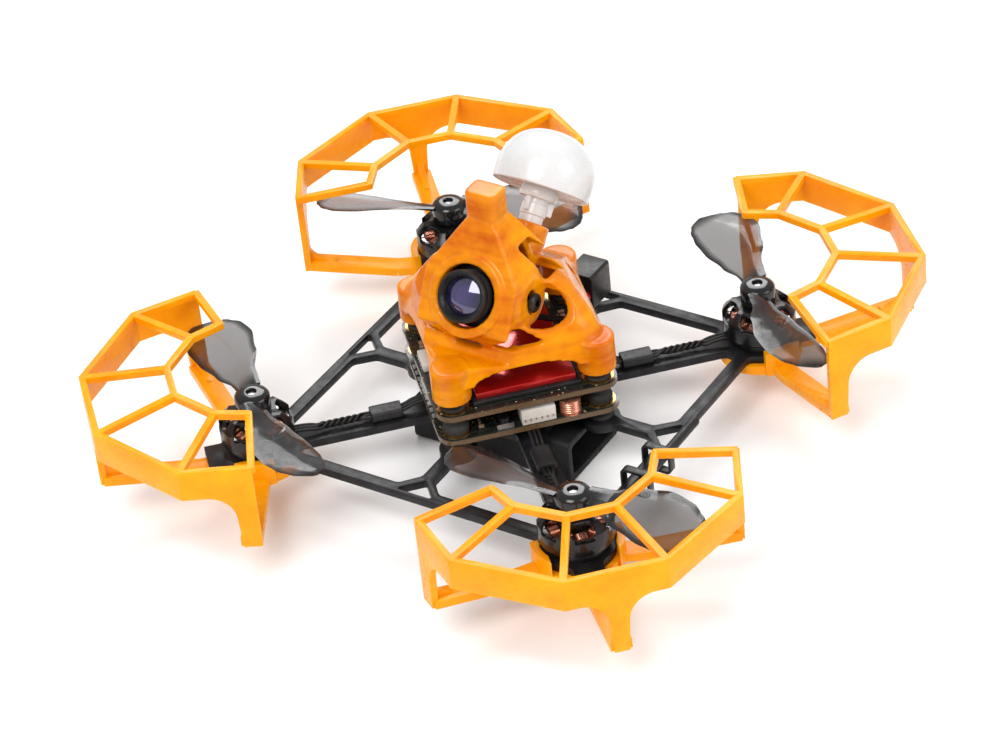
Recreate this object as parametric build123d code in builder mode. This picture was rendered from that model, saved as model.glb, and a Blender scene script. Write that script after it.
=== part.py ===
"""Two-inch racing quadcopter with printed propeller guards, camera canopy and whip-free antenna.

Frame: nose along -Y, left-hand motors on +X, +Z up, origin under the centre of the battery tray,
which is the face that the quadcopter rests on. All sizes are in millimetres.
"""

from build123d import *
from math import cos, hypot, radians, sin, sqrt, tan, atan2, degrees, pi
import os

os.makedirs("parts", exist_ok=True)

# ---------------------------------------------------------------- driving sizes
motor_pitch = 64.0          # side of the square of motor axes
plate_thickness = 1.5
tray_height = 8.5
fit_gap = 0.1               # static gap between pieces that are slid together
running_gap = 0.03          # radial gap of a shaft in its bearing

plate_bottom = tray_height
plate_top = plate_bottom + plate_thickness
diagonal = motor_pitch / sqrt(2)
corner_names = {"rear_left": 45, "rear_right": 135, "front_right": 225, "front_left": 315}


def corner_location(angle, height=0.0):
    """Place of a motor axis, with local +X pointing away from the centre."""
    x = diagonal * cos(radians(angle))
    y = diagonal * sin(radians(angle))
    return Location((x, y, height), (0, 0, angle))


def write(piece, name):
    """Label a finished piece and write its file."""
    piece.part.label = name
    export_step(piece.part, f"parts/{name}.step")
    print(name, round(piece.part.volume, 2))


def write_at_corners(master, stem):
    """Write one copy of a master piece at each motor."""
    for corner, angle in corner_names.items():
        with BuildPart() as copy:
            with Locations(corner_location(angle)):
                add(master.part)
        write(copy, f"{stem}_{corner}")


def bar_frame(start, end):
    """Location of a bar's middle, with local +X along the bar, and the bar's length."""
    dx, dy, dz = (b - a for a, b in zip(start, end))
    flat = hypot(dx, dy)
    middle = tuple((a + b) / 2 for a, b in zip(start, end))
    turn = Location(middle, (0, 0, degrees(atan2(dy, dx))))
    tilt = Location((0, 0, 0), (0, -degrees(atan2(dz, flat)), 0))
    return turn * tilt, sqrt(flat**2 + dz**2)


# ---------------------------------------------------------------- motor sizes
bell_radius = 6.45
bell_wall = 0.55
magnet_thickness = 0.7
air_gap = 0.2
shaft_radius = 0.75
bearing_radius = 2.0
bearing_width = 1.2
bearing_tube_wall = 0.6
motor_base_radius = 5.4
motor_base_thickness = 1.2
stator_height = 2.0
winding_overhang = 0.6
bell_bottom_gap = 0.9       # between the motor's base and the bell's open edge
bell_height = 5.2
bell_top_thickness = 0.9
slot_count = 9
window_count = 6
motor_screw_circle = 6.6
motor_screw_radius = 0.7
motor_screw_count = 3

motor_base_top = plate_top + motor_base_thickness
bell_bottom = motor_base_top + bell_bottom_gap
bell_top = bell_bottom + bell_height
magnet_outer = bell_radius - bell_wall
magnet_inner = magnet_outer - magnet_thickness
stator_radius = magnet_inner - air_gap
tube_radius = bearing_radius + bearing_tube_wall
tube_top = bell_top - bell_top_thickness - 0.4
stator_bottom = motor_base_top + 1.1
stator_top = stator_bottom + stator_height

# ---------------------------------------------------------------- frame plate sizes
arm_width = 4.8
motor_pad_radius = 6.4
arm_tip_length = 9.4        # beyond the motor's axis
arm_tip_width = 5.2
side_bar_width = 2.2
strut_width = 2.4
hub_side = 22.0
hub_opening = 9.0
node_half_length = 6.2       # of the flared joint between an edge bar and its strut
node_depth = 5.6
node_hole_half_length = 2.9
node_hole_depth = 3.0
node_hole_round = 0.4
stack_hole_pitch = 25.5
stack_screw_radius = 1.0
stack_pad_radius = 3.3
corner_round = 1.6
stack_radius = stack_hole_pitch / sqrt(2)

with BuildSketch() as node_hole:
    Polygon((0, node_hole_half_length), (0, -node_hole_half_length), (-node_hole_depth, 0), align=None)
    offset(amount=node_hole_round)
with BuildPart() as frame_plate:
    with BuildSketch(Plane.XY.offset(plate_bottom)) as plate_outline:
        Rectangle(hub_side, hub_side)
        with PolarLocations(0, 4, start_angle=45):
            Rectangle(diagonal, arm_width, align=(Align.MIN, Align.CENTER))
        with PolarLocations(diagonal, 4, start_angle=45):
            Circle(motor_pad_radius)
            Rectangle(arm_tip_length, arm_tip_width, align=(Align.MIN, Align.CENTER))
        with PolarLocations(motor_pitch / 2, 4):
            Rectangle(side_bar_width, motor_pitch)
            Polygon((side_bar_width / 2, node_half_length), (side_bar_width / 2, -node_half_length),
                    (-node_depth, 0), align=None)
        with PolarLocations(0, 4):
            Rectangle(motor_pitch / 2, strut_width, align=(Align.MIN, Align.CENTER))
        with PolarLocations(stack_radius, 4):
            Circle(stack_pad_radius)
        offset(amount=corner_round)
        offset(amount=-corner_round)
        with PolarLocations(motor_pitch / 2, 4):
            add(node_hole.sketch, mode=Mode.SUBTRACT)
        with PolarLocations(stack_radius, 4):
            Circle(stack_screw_radius + fit_gap, mode=Mode.SUBTRACT)
        with PolarLocations(diagonal, 4, start_angle=45):
            Circle(tube_radius, mode=Mode.SUBTRACT)
            with PolarLocations(motor_screw_circle / 2, motor_screw_count):
                Circle(motor_screw_radius + fit_gap, mode=Mode.SUBTRACT)
        RectangleRounded(hub_opening, hub_opening, corner_round, mode=Mode.SUBTRACT)
    extrude(amount=plate_thickness)
write(frame_plate, "frame_plate")

# ---------------------------------------------------------------- guard sizes
guard_wall = 1.2
rim_top = plate_top + 15.8
rim_height = 5.7
leg_bottom = plate_top - 0.6
leg_width = 3.8
leg_flare = 4.6
leg_taper = 0.7             # of each side of a leg towards its foot
gusset_reach = 5.5
rim_end_radius = 27.6
rim_radius = 29.4
rim_end_angle = 80.6
rim_outer_angle = 56.0
rim_inner_angle = 17.0
cage_radius = 13.9
cage_top = plate_top + 17.2
cage_bar_width = 1.2
cage_bar_height = 1.2
guard_arm_width = 3.6
guard_arm_thickness = 1.6
guard_pad_radius = 7.4
guard_pad_thickness = 1.8
collar_wall = 1.3
collar_top = motor_base_top + 0.2
collar_gap_angle = 60

rim_bottom = rim_top - rim_height
guard_pad_bottom = plate_bottom - guard_pad_thickness
collar_inner = motor_pad_radius + 2 * fit_gap
rim_angles = [rim_end_angle, rim_outer_angle, rim_inner_angle]
rim_angles = rim_angles + [-angle for angle in reversed(rim_angles)]
rim_radii = [rim_end_radius, rim_radius, rim_radius, rim_radius, rim_radius, rim_end_radius]


def polar_point(radius, angle):
    """Point of a circle about the motor's axis."""
    return (radius * cos(radians(angle)), radius * sin(radians(angle)))


rim_outer_points = [polar_point(r, a) for r, a in zip(rim_radii, rim_angles)]
rim_inner_points = [polar_point(r - guard_wall, a) for r, a in zip(rim_radii, rim_angles)]
cage_points = [polar_point(cage_radius, a) for a in rim_angles]


def facet_plane(index):
    """Upright plane on a facet of the rim: X along the facet, Y up, origin at its first corner."""
    (x0, y0), (x1, y1) = rim_outer_points[index], rim_outer_points[index + 1]
    length = hypot(x1 - x0, y1 - y0)
    along = ((x1 - x0) / length, (y1 - y0) / length, 0)
    inward = (along[1], -along[0], 0)
    return Plane(origin=(x0, y0, 0), x_dir=along, z_dir=inward), length


def facet_window(index, start, end, rounded_side):
    """Sketch of the space under the rim between two places on a facet, rounded beside a leg."""
    plane, length = facet_plane(index)
    width = end - start
    height = rim_bottom - leg_bottom + guard_wall
    with BuildSketch(plane) as window:
        low, high = rim_bottom - height, rim_bottom
        left = start - leg_taper if rounded_side == "start" else start
        right = end + leg_taper if rounded_side == "end" else end
        Polygon((start, high), (start + width, high), (right, low), (left, low), align=None)
        corners = window.vertices().group_by(Axis.Y)[-1].sort_by(Axis.X)
        if rounded_side == "start":
            fillet(corners[0], leg_flare)
        if rounded_side == "end":
            fillet(corners[-1], leg_flare)
    return window.sketch


with BuildPart() as guard:
    with BuildSketch(Plane.XY.offset(leg_bottom)):
        Polygon(*rim_outer_points, *reversed(rim_inner_points), align=None)
    extrude(amount=rim_top - leg_bottom)
    middle_plane, middle_length = facet_plane(2)
    end_plane, end_length = facet_plane(0)
    side_plane, side_length = facet_plane(1)
    windows = [
        facet_window(0, leg_width, end_length + guard_wall / 2, "start"),
        facet_window(1, -guard_wall, side_length + guard_wall, "none"),
        facet_window(2, -guard_wall / 2, (middle_length - leg_width) / 2, "end"),
        facet_window(2, (middle_length + leg_width) / 2, middle_length + guard_wall / 2, "start"),
        facet_window(3, -guard_wall, side_length + guard_wall, "none"),
        facet_window(4, -guard_wall / 2, end_length - leg_width, "end"),
    ]
    for window in windows:
        extrude(window, amount=2 * guard_wall, both=True, mode=Mode.SUBTRACT)
    bar_top_drop = cage_bar_height / 2
    for outer, inner in zip(rim_outer_points, cage_points):
        reach = 1 - guard_wall / 2 / hypot(*outer)
        start = (outer[0] * reach, outer[1] * reach, rim_top - bar_top_drop)
        end = (inner[0], inner[1], cage_top - bar_top_drop)
        place, length = bar_frame(start, end)
        with Locations(place):
            Box(length + cage_bar_width / 2, cage_bar_width, cage_bar_height)
    for first, second in zip(cage_points, cage_points[1:]):
        height = cage_top - bar_top_drop
        place, length = bar_frame((*first, height), (*second, height))
        with Locations(place):
            Box(length + cage_bar_width / 2, cage_bar_width, cage_bar_height)
    with BuildSketch(Plane.XY.offset(guard_pad_bottom)):
        Circle(guard_pad_radius)
        with PolarLocations(motor_screw_circle / 2, motor_screw_count):
            Circle(motor_screw_radius + fit_gap, mode=Mode.SUBTRACT)
        Circle(tube_radius, mode=Mode.SUBTRACT)
    extrude(amount=guard_pad_thickness)
    with BuildSketch(Plane.XY.offset(guard_pad_bottom)):
        Circle(collar_inner + collar_wall)
        Circle(collar_inner, mode=Mode.SUBTRACT)
        gap = 3 * collar_inner
        with Locations((-gap / 2 - collar_inner * cos(radians(collar_gap_angle)) * 0.4, 0)):
            Rectangle(gap, gap, mode=Mode.SUBTRACT)
        with Locations((gap / 2, 0)):
            Rectangle(gap, arm_tip_width + 4 * corner_round, mode=Mode.SUBTRACT)
    extrude(amount=collar_top - guard_pad_bottom)
    for angle, radius in ((rim_end_angle, rim_end_radius), (0, rim_radius * cos(radians(rim_inner_angle))),
                          (-rim_end_angle, rim_end_radius)):
        lean = degrees(atan2(leg_width / 2, radius)) if angle else 0
        bearing = angle - lean if angle > 0 else angle + lean
        low = guard_pad_bottom + guard_arm_thickness / 2
        high = leg_bottom + guard_arm_thickness / 2
        inner = (*polar_point(guard_pad_radius - guard_wall, bearing), low)
        knee = (*polar_point(arm_tip_length + guard_wall, bearing), low)
        outer = (*polar_point(radius - guard_wall / 2, bearing), high)
        for start, end in ((inner, knee), (knee, outer)):
            place, length = bar_frame(start, end)
            with Locations(place):
                Box(length, guard_arm_width, guard_arm_thickness)
        radial = Vector(cos(radians(bearing)), sin(radians(bearing)), 0)
        back = radius - guard_wall / 2
        with BuildSketch(Plane(origin=(0, 0, 0), x_dir=radial, z_dir=Vector(radial.Y, -radial.X, 0))):
            with BuildLine():
                Line((back - gusset_reach, high), (back, high))
                Line((back, high), (back, high + gusset_reach))
                TangentArc((back, high + gusset_reach), (back - gusset_reach, high), tangent=(0, -1))
            make_face()
        extrude(amount=guard_wall / 2, both=True)
write_at_corners(guard, "guard")

# ---------------------------------------------------------------- motors
with BuildPart() as motor_base:
    with BuildSketch(Plane.XY.offset(plate_top)):
        Circle(motor_base_radius)
        with PolarLocations(motor_screw_circle / 2, motor_screw_count):
            Circle(motor_screw_radius, mode=Mode.SUBTRACT)
        Circle(bearing_radius, mode=Mode.SUBTRACT)
    extrude(amount=motor_base_thickness)
    with BuildSketch(Plane.XY.offset(plate_top)):
        Circle(tube_radius)
        Circle(bearing_radius, mode=Mode.SUBTRACT)
    extrude(amount=tube_top - plate_top)
write_at_corners(motor_base, "motor_base")

tooth_width = 0.9
tooth_tip_width = 2.6
core_ring_width = 0.6
with BuildPart() as stator:
    with BuildSketch(Plane.XY.offset(stator_bottom)):
        Circle(tube_radius + core_ring_width)
        with PolarLocations(0, slot_count):
            Rectangle(stator_radius - 0.3, tooth_width, align=(Align.MIN, Align.CENTER))
        with PolarLocations(stator_radius - 0.3, slot_count):
            Rectangle(0.5, tooth_tip_width, align=(Align.MIN, Align.CENTER), mode=Mode.ADD)
        Circle(stator_radius, mode=Mode.INTERSECT)
        Circle(tube_radius, mode=Mode.SUBTRACT)
    extrude(amount=stator_height)
write_at_corners(stator, "stator")

coil_inner = tube_radius + core_ring_width + 0.05
coil_outer = stator_radius - 0.35
coil_width = 1.8
with BuildPart() as windings:
    with PolarLocations((coil_inner + coil_outer) / 2, slot_count):
        with Locations((0, 0, (stator_bottom + stator_top) / 2)):
            Box(coil_outer - coil_inner, coil_width, stator_height + 2 * winding_overhang)
            Box(coil_outer, tooth_width, stator_height, mode=Mode.SUBTRACT)
with BuildPart() as all_windings:
    for angle in corner_names.values():
        with Locations(corner_location(angle)):
            add(windings.part)
write(all_windings, "windings")

with BuildPart() as bearings:
    for height in (plate_top, tube_top - bearing_width):
        with BuildSketch(Plane.XY.offset(height)):
            Circle(bearing_radius)
            Circle(shaft_radius + running_gap, mode=Mode.SUBTRACT)
        extrude(amount=bearing_width)

with BuildPart() as all_bearings:
    for angle in corner_names.values():
        with Locations(corner_location(angle)):
            add(bearings.part)
write(all_bearings, "bearings")

bell_band_height = 2.6
window_top_gap = 0.2
with BuildPart() as bell:
    with BuildSketch(Plane.XZ):
        with BuildLine():
            Polyline(
                (shaft_radius, bell_top),
                (bell_radius - 1.6, bell_top),
                (bell_radius, bell_top - 1.7),
                (bell_radius, bell_bottom),
                (magnet_outer, bell_bottom),
                (magnet_outer, bell_top - 1.9),
                (bell_radius - 2.1, bell_top - bell_top_thickness),
                (shaft_radius, bell_top - bell_top_thickness),
                close=True,
            )
        make_face()
    revolve(axis=Axis.Z)
    with BuildSketch(Plane.XY.offset(bell_bottom + bell_band_height)):
        with PolarLocations(bell_radius - 1.2, window_count):
            SlotOverall(4.2, 2.9, rotation=90)
    extrude(amount=bell_height, mode=Mode.SUBTRACT)

magnet_height = 2.3
with BuildPart() as magnets:
    with BuildSketch(Plane.XY.offset(bell_bottom + 0.1)):
        Circle(magnet_outer)
        Circle(magnet_inner, mode=Mode.SUBTRACT)
        with PolarLocations(magnet_inner, 12):
            Rectangle(2.0, 0.3, mode=Mode.SUBTRACT)
    extrude(amount=magnet_height)

prop_diameter = 51.0
prop_hub_radius = 3.1
prop_hub_height = 3.9
prop_gap = 0.2
prop_bottom = bell_top + prop_gap
prop_top = prop_bottom + prop_hub_height
shaft_bottom = plate_top + 0.2
shaft_top = prop_top - 0.6
with BuildPart() as shaft:
    with BuildSketch(Plane.XY.offset(shaft_bottom)):
        Circle(shaft_radius)
    extrude(amount=shaft_top - shaft_bottom)
    with BuildSketch(Plane.XY.offset(tube_top + 0.1)):
        Circle(bearing_radius - 0.6)
        Circle(shaft_radius, mode=Mode.SUBTRACT)
    extrude(amount=bell_top - bell_top_thickness - tube_top - 0.1)

blade_thickness = 0.8
blade_pitch = 13
blade_root_width = 3.4
blade_chord = 11.4
blade_level = prop_bottom + prop_hub_height / 2


def propeller(turn_sense):
    """Two-bladed propeller about the motor's axis; turn_sense is +1 or -1."""
    with BuildPart() as prop:
        with BuildSketch(Plane.XY.offset(prop_bottom)):
            Circle(prop_hub_radius)
        extrude(amount=prop_hub_height)
        with BuildSketch(Plane.XY.offset(prop_bottom)):
            Circle(shaft_radius)
        extrude(amount=shaft_top - prop_bottom, mode=Mode.SUBTRACT)
        tip = prop_diameter / 2
        for side in (0, 180):
            blade_axis = Location((0, 0, blade_level), (0, 0, side)) * Location(
                (0, 0, 0), (turn_sense * blade_pitch, 0, 0)
            )
            with BuildSketch(Plane(blade_axis).offset(-blade_thickness / 2)):
                with BuildLine():
                    Spline(
                        (1.2, blade_root_width / 2),
                        (7.5, 0.40 * blade_chord),
                        (15.0, 0.56 * blade_chord),
                        (21.5, 0.40 * blade_chord),
                        (tip - 0.1, 0.0),
                        tangents=((1, 0.2), (0, -1)),
                    )
                    Spline(
                        (1.2, -blade_root_width / 2),
                        (7.5, -0.36 * blade_chord),
                        (15.0, -0.44 * blade_chord),
                        (21.5, -0.30 * blade_chord),
                        (tip - 0.1, 0.0),
                        tangents=((1, -0.2), (0, 1)),
                    )
                    Line((1.2, blade_root_width / 2), (1.2, -blade_root_width / 2))
                make_face()
            extrude(amount=blade_thickness)
        with BuildSketch(Plane.XY.offset(prop_bottom)):
            Circle(shaft_radius)
        extrude(amount=shaft_top - prop_bottom, mode=Mode.SUBTRACT)
    return prop


# The blades' angle about the motor's axis when parked, and each rotor's sense of turning
parked_angles = {"rear_left": -36, "rear_right": 13, "front_right": -29, "front_left": -9}
turn_senses = {"rear_left": -1, "rear_right": 1, "front_right": -1, "front_left": 1}
propellers = {sense: propeller(sense) for sense in (1, -1)}
write_at_corners(bell, "bell")
write_at_corners(magnets, "magnets")
write_at_corners(shaft, "shaft")
for corner, angle in corner_names.items():
    centre = corner_location(angle).position
    with BuildPart() as parked_prop:
        with Locations(Location(centre, (0, 0, parked_angles[corner]))):
            add(propellers[turn_senses[corner]].part)
    write(parked_prop, f"prop_{corner}")

screw_head_radius = 1.25
screw_head_height = 0.9
with BuildPart() as motor_screw_set:
    with BuildSketch(Plane.XY.offset(guard_pad_bottom)):
        with PolarLocations(motor_screw_circle / 2, motor_screw_count):
            Circle(motor_screw_radius - fit_gap / 4)
    extrude(amount=motor_base_top - guard_pad_bottom - 0.1)
    with BuildSketch(Plane.XY.offset(guard_pad_bottom - screw_head_height)):
        with PolarLocations(motor_screw_circle / 2, motor_screw_count):
            Circle(screw_head_radius)
    extrude(amount=screw_head_height)
with BuildPart() as motor_screws:
    for angle in corner_names.values():
        with Locations(corner_location(angle)):
            add(motor_screw_set.part)
write(motor_screws, "motor_screws")

# ---------------------------------------------------------------- electronics stack
board_side = 32.0
board_round = 3.0
board_thickness = 1.0
lower_damper_height = 2.6
middle_damper_height = 4.0
upper_damper_height = 2.0
damper_radius = 2.3
stack_head_radius = 1.8
stack_head_height = 1.2
screw_reach = 5.0           # into the canopy's feet
aio_bottom = plate_top + lower_damper_height
aio_top = aio_bottom + board_thickness
vtx_bottom = aio_top + middle_damper_height
vtx_top = vtx_bottom + board_thickness
foot_bottom = vtx_top + upper_damper_height


def board(height):
    """Circuit board standing on its corner, with holes for the stack screws."""
    with BuildPart() as piece:
        with BuildSketch(Plane.XY.offset(height)):
            RectangleRounded(board_side, board_side, board_round, rotation=45)
            with PolarLocations(stack_radius, 4):
                Circle(stack_screw_radius + fit_gap, mode=Mode.SUBTRACT)
        extrude(amount=board_thickness)
    return piece


write(board(aio_bottom), "aio_board")
write(board(vtx_bottom), "vtx_board")

with BuildPart() as board_dampers:
    for bottom, height in (
        (plate_top, lower_damper_height),
        (aio_top, middle_damper_height),
        (vtx_top, upper_damper_height),
    ):
        with BuildSketch(Plane.XY.offset(bottom)):
            with PolarLocations(stack_radius, 4):
                Circle(damper_radius)
            with PolarLocations(stack_radius, 4):
                Circle(stack_screw_radius + fit_gap, mode=Mode.SUBTRACT)
        extrude(amount=height)
write(board_dampers, "board_dampers")

with BuildPart() as stack_screws:
    with BuildSketch(Plane.XY.offset(plate_bottom)):
        with PolarLocations(stack_radius, 4):
            Circle(stack_screw_radius)
    extrude(amount=foot_bottom + screw_reach - plate_bottom)
    with BuildSketch(Plane.XY.offset(plate_bottom - stack_head_height)):
        with PolarLocations(stack_radius, 4):
            Circle(stack_head_radius)
    extrude(amount=stack_head_height)
write(stack_screws, "stack_screws")

# Pieces on the boards are placed in the boards' own axes, turned 45 degrees.
board_axes = Location((0, 0, 0), (0, 0, 45))


def blocks(name, *sizes):
    """Group of separate blocks on a board: (along, across, bottom, length, width, height)."""
    with BuildPart() as group:
        for along, across, bottom, length, width, height in sizes:
            with Locations(board_axes * Location((along, across, bottom))):
                Box(length, width, height, align=(Align.CENTER, Align.CENTER, Align.MIN))
    write(group, name)


shield_length = 19.0
shield_width = 28.4
shield_thickness = 0.8
sink_margin = 0.7
sink_thickness = 1.2
blocks("vtx_shield", (0, 0, vtx_top, shield_length, shield_width, shield_thickness))
blocks("heat_sink", (0, 0, vtx_top + shield_thickness, shield_length - 2 * sink_margin,
                     shield_width - 2 * sink_margin, sink_thickness))
blocks(
    "board_connectors",
    (1.3, -14.0, aio_top, 6.0, 3.6, 3.0),
    (-6.0, 14.0, aio_top, 4.0, 3.4, 2.4),
    (-13.8, 1.0, vtx_top, 3.2, 5.0, 1.4),
    (-13.8, -1.0, aio_top, 3.4, 7.0, 2.2),
    (13.0, 0.0, vtx_top, 3.0, 3.0, 1.4),
)
blocks(
    "board_chips",
    (0.0, 3.0, aio_top, 7.0, 7.0, 1.0),
    (3.0, -7.5, aio_top, 4.0, 4.0, 0.9),
    (-6.5, -4.0, aio_top, 3.0, 3.0, 0.8),
    (0.0, 0.0, aio_bottom - 0.9, 6.0, 6.0, 0.9),
    (8.0, 5.0, aio_top, 3.0, 4.5, 0.9),
)
with BuildPart() as power_inductor:
    with Locations(board_axes * Location((7.2, -14.2, aio_top))):
        Box(4.0, 3.6, 3.0, align=(Align.CENTER, Align.CENTER, Align.MIN))
write(power_inductor, "power_inductor")

button_travel = 0.25
button_radius = 0.9
with BuildPart() as button_housing:
    with Locations(board_axes * Location((-4.6, -14.2, aio_top))):
        Box(3.0, 3.0, 1.2, align=(Align.CENTER, Align.CENTER, Align.MIN))
        Cylinder(button_radius + fit_gap, 1.2, align=(Align.CENTER, Align.CENTER, Align.MIN),
                 mode=Mode.SUBTRACT)
write(button_housing, "button_housing")
with BuildPart() as boot_button:
    with Locations(board_axes * Location((-4.6, -14.2, aio_top + button_travel + 0.1))):
        Cylinder(button_radius, 1.35, align=(Align.CENTER, Align.CENTER, Align.MIN))
write(boot_button, "boot_button")

# ---------------------------------------------------------------- battery tray and power lead
tray_length = 32.0
tray_width = 17.0
tray_wall = 1.4
with BuildPart() as battery_tray:
    with BuildSketch(Plane.YZ):
        with Locations((0, tray_height / 2)):
            RectangleRounded(tray_width, tray_height, tray_wall)
            RectangleRounded(tray_width - 2 * tray_wall, tray_height - 2 * tray_wall, tray_wall / 2,
                             mode=Mode.SUBTRACT)
    extrude(amount=tray_length / 2, both=True)
write(battery_tray, "battery_tray")

plug_width = 5.6
plug_depth = 6.4
plug_height = 7.0
plug_wall = 0.9
plug_front = 24.0
plug_bottom = plate_top + 2.0
with BuildPart() as power_connector:
    with BuildSketch(Plane.XZ.offset(-plug_front)):
        with Locations((0, plug_bottom + plug_height / 2)):
            RectangleRounded(plug_width, plug_height, 0.6)
    extrude(amount=-plug_depth)
    with BuildSketch(Plane.XZ.offset(-plug_front - plug_depth)):
        with Locations((0, plug_bottom + plug_height / 2)):
            Rectangle(plug_width - 2 * plug_wall, plug_height - 2 * plug_wall)
    extrude(amount=plug_depth - plug_wall, mode=Mode.SUBTRACT)
write(power_connector, "power_connector")

pin_radius = 0.6
pin_spacing = 2.6
with BuildPart() as connector_pins:
    with BuildSketch(Plane.XZ.offset(-plug_front - plug_wall)):
        with Locations((0, plug_bottom + plug_height / 2)):
            with GridLocations(0, pin_spacing, 1, 2):
                Circle(pin_radius)
    extrude(amount=-(plug_depth - 2 * plug_wall))
write(connector_pins, "connector_pins")


def cord(name, routes, radius):
    """Tubes along straight runs joined by tangent arcs, each arc as large as its runs allow."""
    with BuildPart() as piece:
        for points in routes:
            vectors = [Vector(*point) for point in points]
            runs = [b - a for a, b in zip(vectors, vectors[1:])]
            radii = []
            for first, second in zip(runs, runs[1:]):
                turn = radians(first.get_angle(second))
                radii.append(0.45 * min(first.length, second.length) / tan(turn / 2))
            with BuildLine() as path:
                if radii:
                    FilletPolyline(*points, radius=radii)
                else:
                    Line(*points)
            with BuildSketch(Plane(origin=points[0], z_dir=runs[0].normalized())):
                Circle(radius)
            sweep(path=path.wires()[0])
    length = sum(edge.length for edge in path.edges())
    section = pi * radius**2 * length * len(routes)
    print(name, "radii", [round(value, 1) for value in radii], "length", round(length, 1),
          "volume ratio", round(piece.part.volume / section, 4))
    write(piece, name)


lead_radius = 0.3
lead_spacing = 0.75
lead_height = 1.0           # of the leads' middle above the arm
sleeve_wall = 0.65
sleeve_side = 1.0           # wall beside the outer leads
board_reach = board_side / 2
lead_exit = motor_base_top + lead_radius + 0.05
lead_low = plate_top + lead_height
lead_high = aio_bottom - lead_radius
lead_routes = []
for angle in corner_names.values():
    middle = (
        (diagonal - stator_radius + 0.1, lead_exit),
        (diagonal - bell_radius - 1.6, lead_exit),
        (diagonal - bell_radius - 4.2, lead_low),
        (board_reach + 3.4, lead_low),
        (board_reach + 1.4, lead_high),
        (board_reach - 1.6, lead_high),
    )
    for side in (-lead_spacing, 0, lead_spacing):
        c, s = cos(radians(angle)), sin(radians(angle))
        lead_routes.append([(c * out - s * side, s * out + c * side, height) for out, height in middle])
cord("motor_leads", lead_routes, lead_radius)

sleeve_start = 19.8
sleeve_length = 5.6
sleeve_room = 2 * lead_radius + 0.1
with BuildPart() as lead_sleeves:
    for angle in corner_names.values():
        place = Location((0, 0, 0), (0, 0, angle)) * Location((sleeve_start, 0, lead_low))
        with Locations(place):
            Box(sleeve_length, 2 * lead_spacing + sleeve_room + 2 * sleeve_side,
                sleeve_room + 2 * sleeve_wall, align=(Align.MIN, Align.CENTER, Align.CENTER))
            Box(sleeve_length, 2 * lead_spacing + sleeve_room, sleeve_room,
                align=(Align.MIN, Align.CENTER, Align.CENTER), mode=Mode.SUBTRACT)
write(lead_sleeves, "lead_sleeves")

power_lead_radius = 0.8
power_routes = [
    [
        (side * 1.5, plug_front, plug_bottom + 3.0),
        (side * 3.1, plug_front - 3.5, plug_bottom + 2.6),
        (side * 4.3, plug_front - 9.0, aio_top + power_lead_radius),
    ]
    for side in (1, -1)
]
cord("battery_leads", power_routes, power_lead_radius)

# ---------------------------------------------------------------- receiver antenna
rod_radius = 0.9
rod_side = motor_pitch / 2 + side_bar_width / 2 + rod_radius + 0.4
rod_height = plate_top + rod_radius + 0.4
rod_front = -17.0
rod_rear = 4.0
tie_thickness = 0.5
tie_width = 1.6
with BuildPart() as receiver_antenna:
    with BuildSketch(Plane.XZ.offset(-rod_front)):
        with Locations((rod_side, rod_height)):
            Circle(rod_radius)
    extrude(amount=rod_front - rod_rear)
write(receiver_antenna, "receiver_antenna")

tie_left = motor_pitch / 2 - side_bar_width / 2 - fit_gap
tie_right = rod_side + rod_radius + fit_gap
tie_bottom = plate_bottom - fit_gap
tie_top = rod_height + rod_radius + fit_gap
with BuildPart() as antenna_ties:
    for along in (-14.0, -6.8):
        with BuildSketch(Plane.XZ.offset(-along)):
            with Locations(((tie_left + tie_right) / 2, (tie_bottom + tie_top) / 2)):
                RectangleRounded(tie_right - tie_left + 2 * tie_thickness,
                                 tie_top - tie_bottom + 2 * tie_thickness, 1.0)
                RectangleRounded(tie_right - tie_left, tie_top - tie_bottom, 0.2, mode=Mode.SUBTRACT)
        extrude(amount=tie_width / 2, both=True)
write(antenna_ties, "antenna_ties")

# ---------------------------------------------------------------- canopy
canopy_wall = 1.6
foot_radius = 3.4
foot_height = 6.6
skirt_bottom = foot_bottom + 3.0
# Height above the skirt, side and corner radius of each level of the dome
dome_levels = (
    (0.0, 31.6, 3.4),
    (2.5, 29.9, 3.8),
    (6.4, 27.0, 4.0),
    (11.1, 22.0, 4.4),
    (12.8, 18.2, 5.0),
)
# Side view of the dome: distance from the stack's middle towards the tail, and height above the plate
dome_profile = (
    (-23.0, 10.0), (-23.0, 16.9), (-18.6, 17.0), (-12.5, 16.2), (-9.0, 21.5), (-5.0, 27.4), (4.0, 27.4),
    (8.0, 24.6), (14.0, 20.6), (18.6, 17.0), (23.0, 16.9), (23.0, 10.0),
)
skirt_arch_half_width = 9.0
skirt_arch_height = 1.8
camera_pivot_y = -5.0
camera_pivot_z = plate_top + 24.6
camera_tilt = 30.0
lens_drop = 0.9             # of the lens axis below the pivot
housing_half_width = 9.0
taper_start = plate_top + 29.5
taper_end = plate_top + 37.5
fin_half_width = 3.0
fin_top = plate_top + 43.2


def dome(shrink, lower, stop):
    """Tapering dome with four rounded corners; shrink draws it in and stop lowers its top."""
    with BuildPart() as body:
        for height, side, round_off in dome_levels:
            level = skirt_bottom + height + (-lower if height == 0 else 0)
            if height == dome_levels[-1][0]:
                level = level - stop
            with BuildSketch(Plane.XY.offset(level)):
                RectangleRounded(side - 2 * shrink, side - 2 * shrink, round_off - shrink * 0.8,
                                 rotation=45)
        loft(ruled=True)
        with BuildSketch(Plane.YZ):
            Polygon(*((y * (1 - shrink / 20), plate_top + z - 1.2 * shrink) for y, z in dome_profile), align=None)
        extrude(amount=2 * stack_radius, both=True, mode=Mode.INTERSECT)
    return body.part


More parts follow.
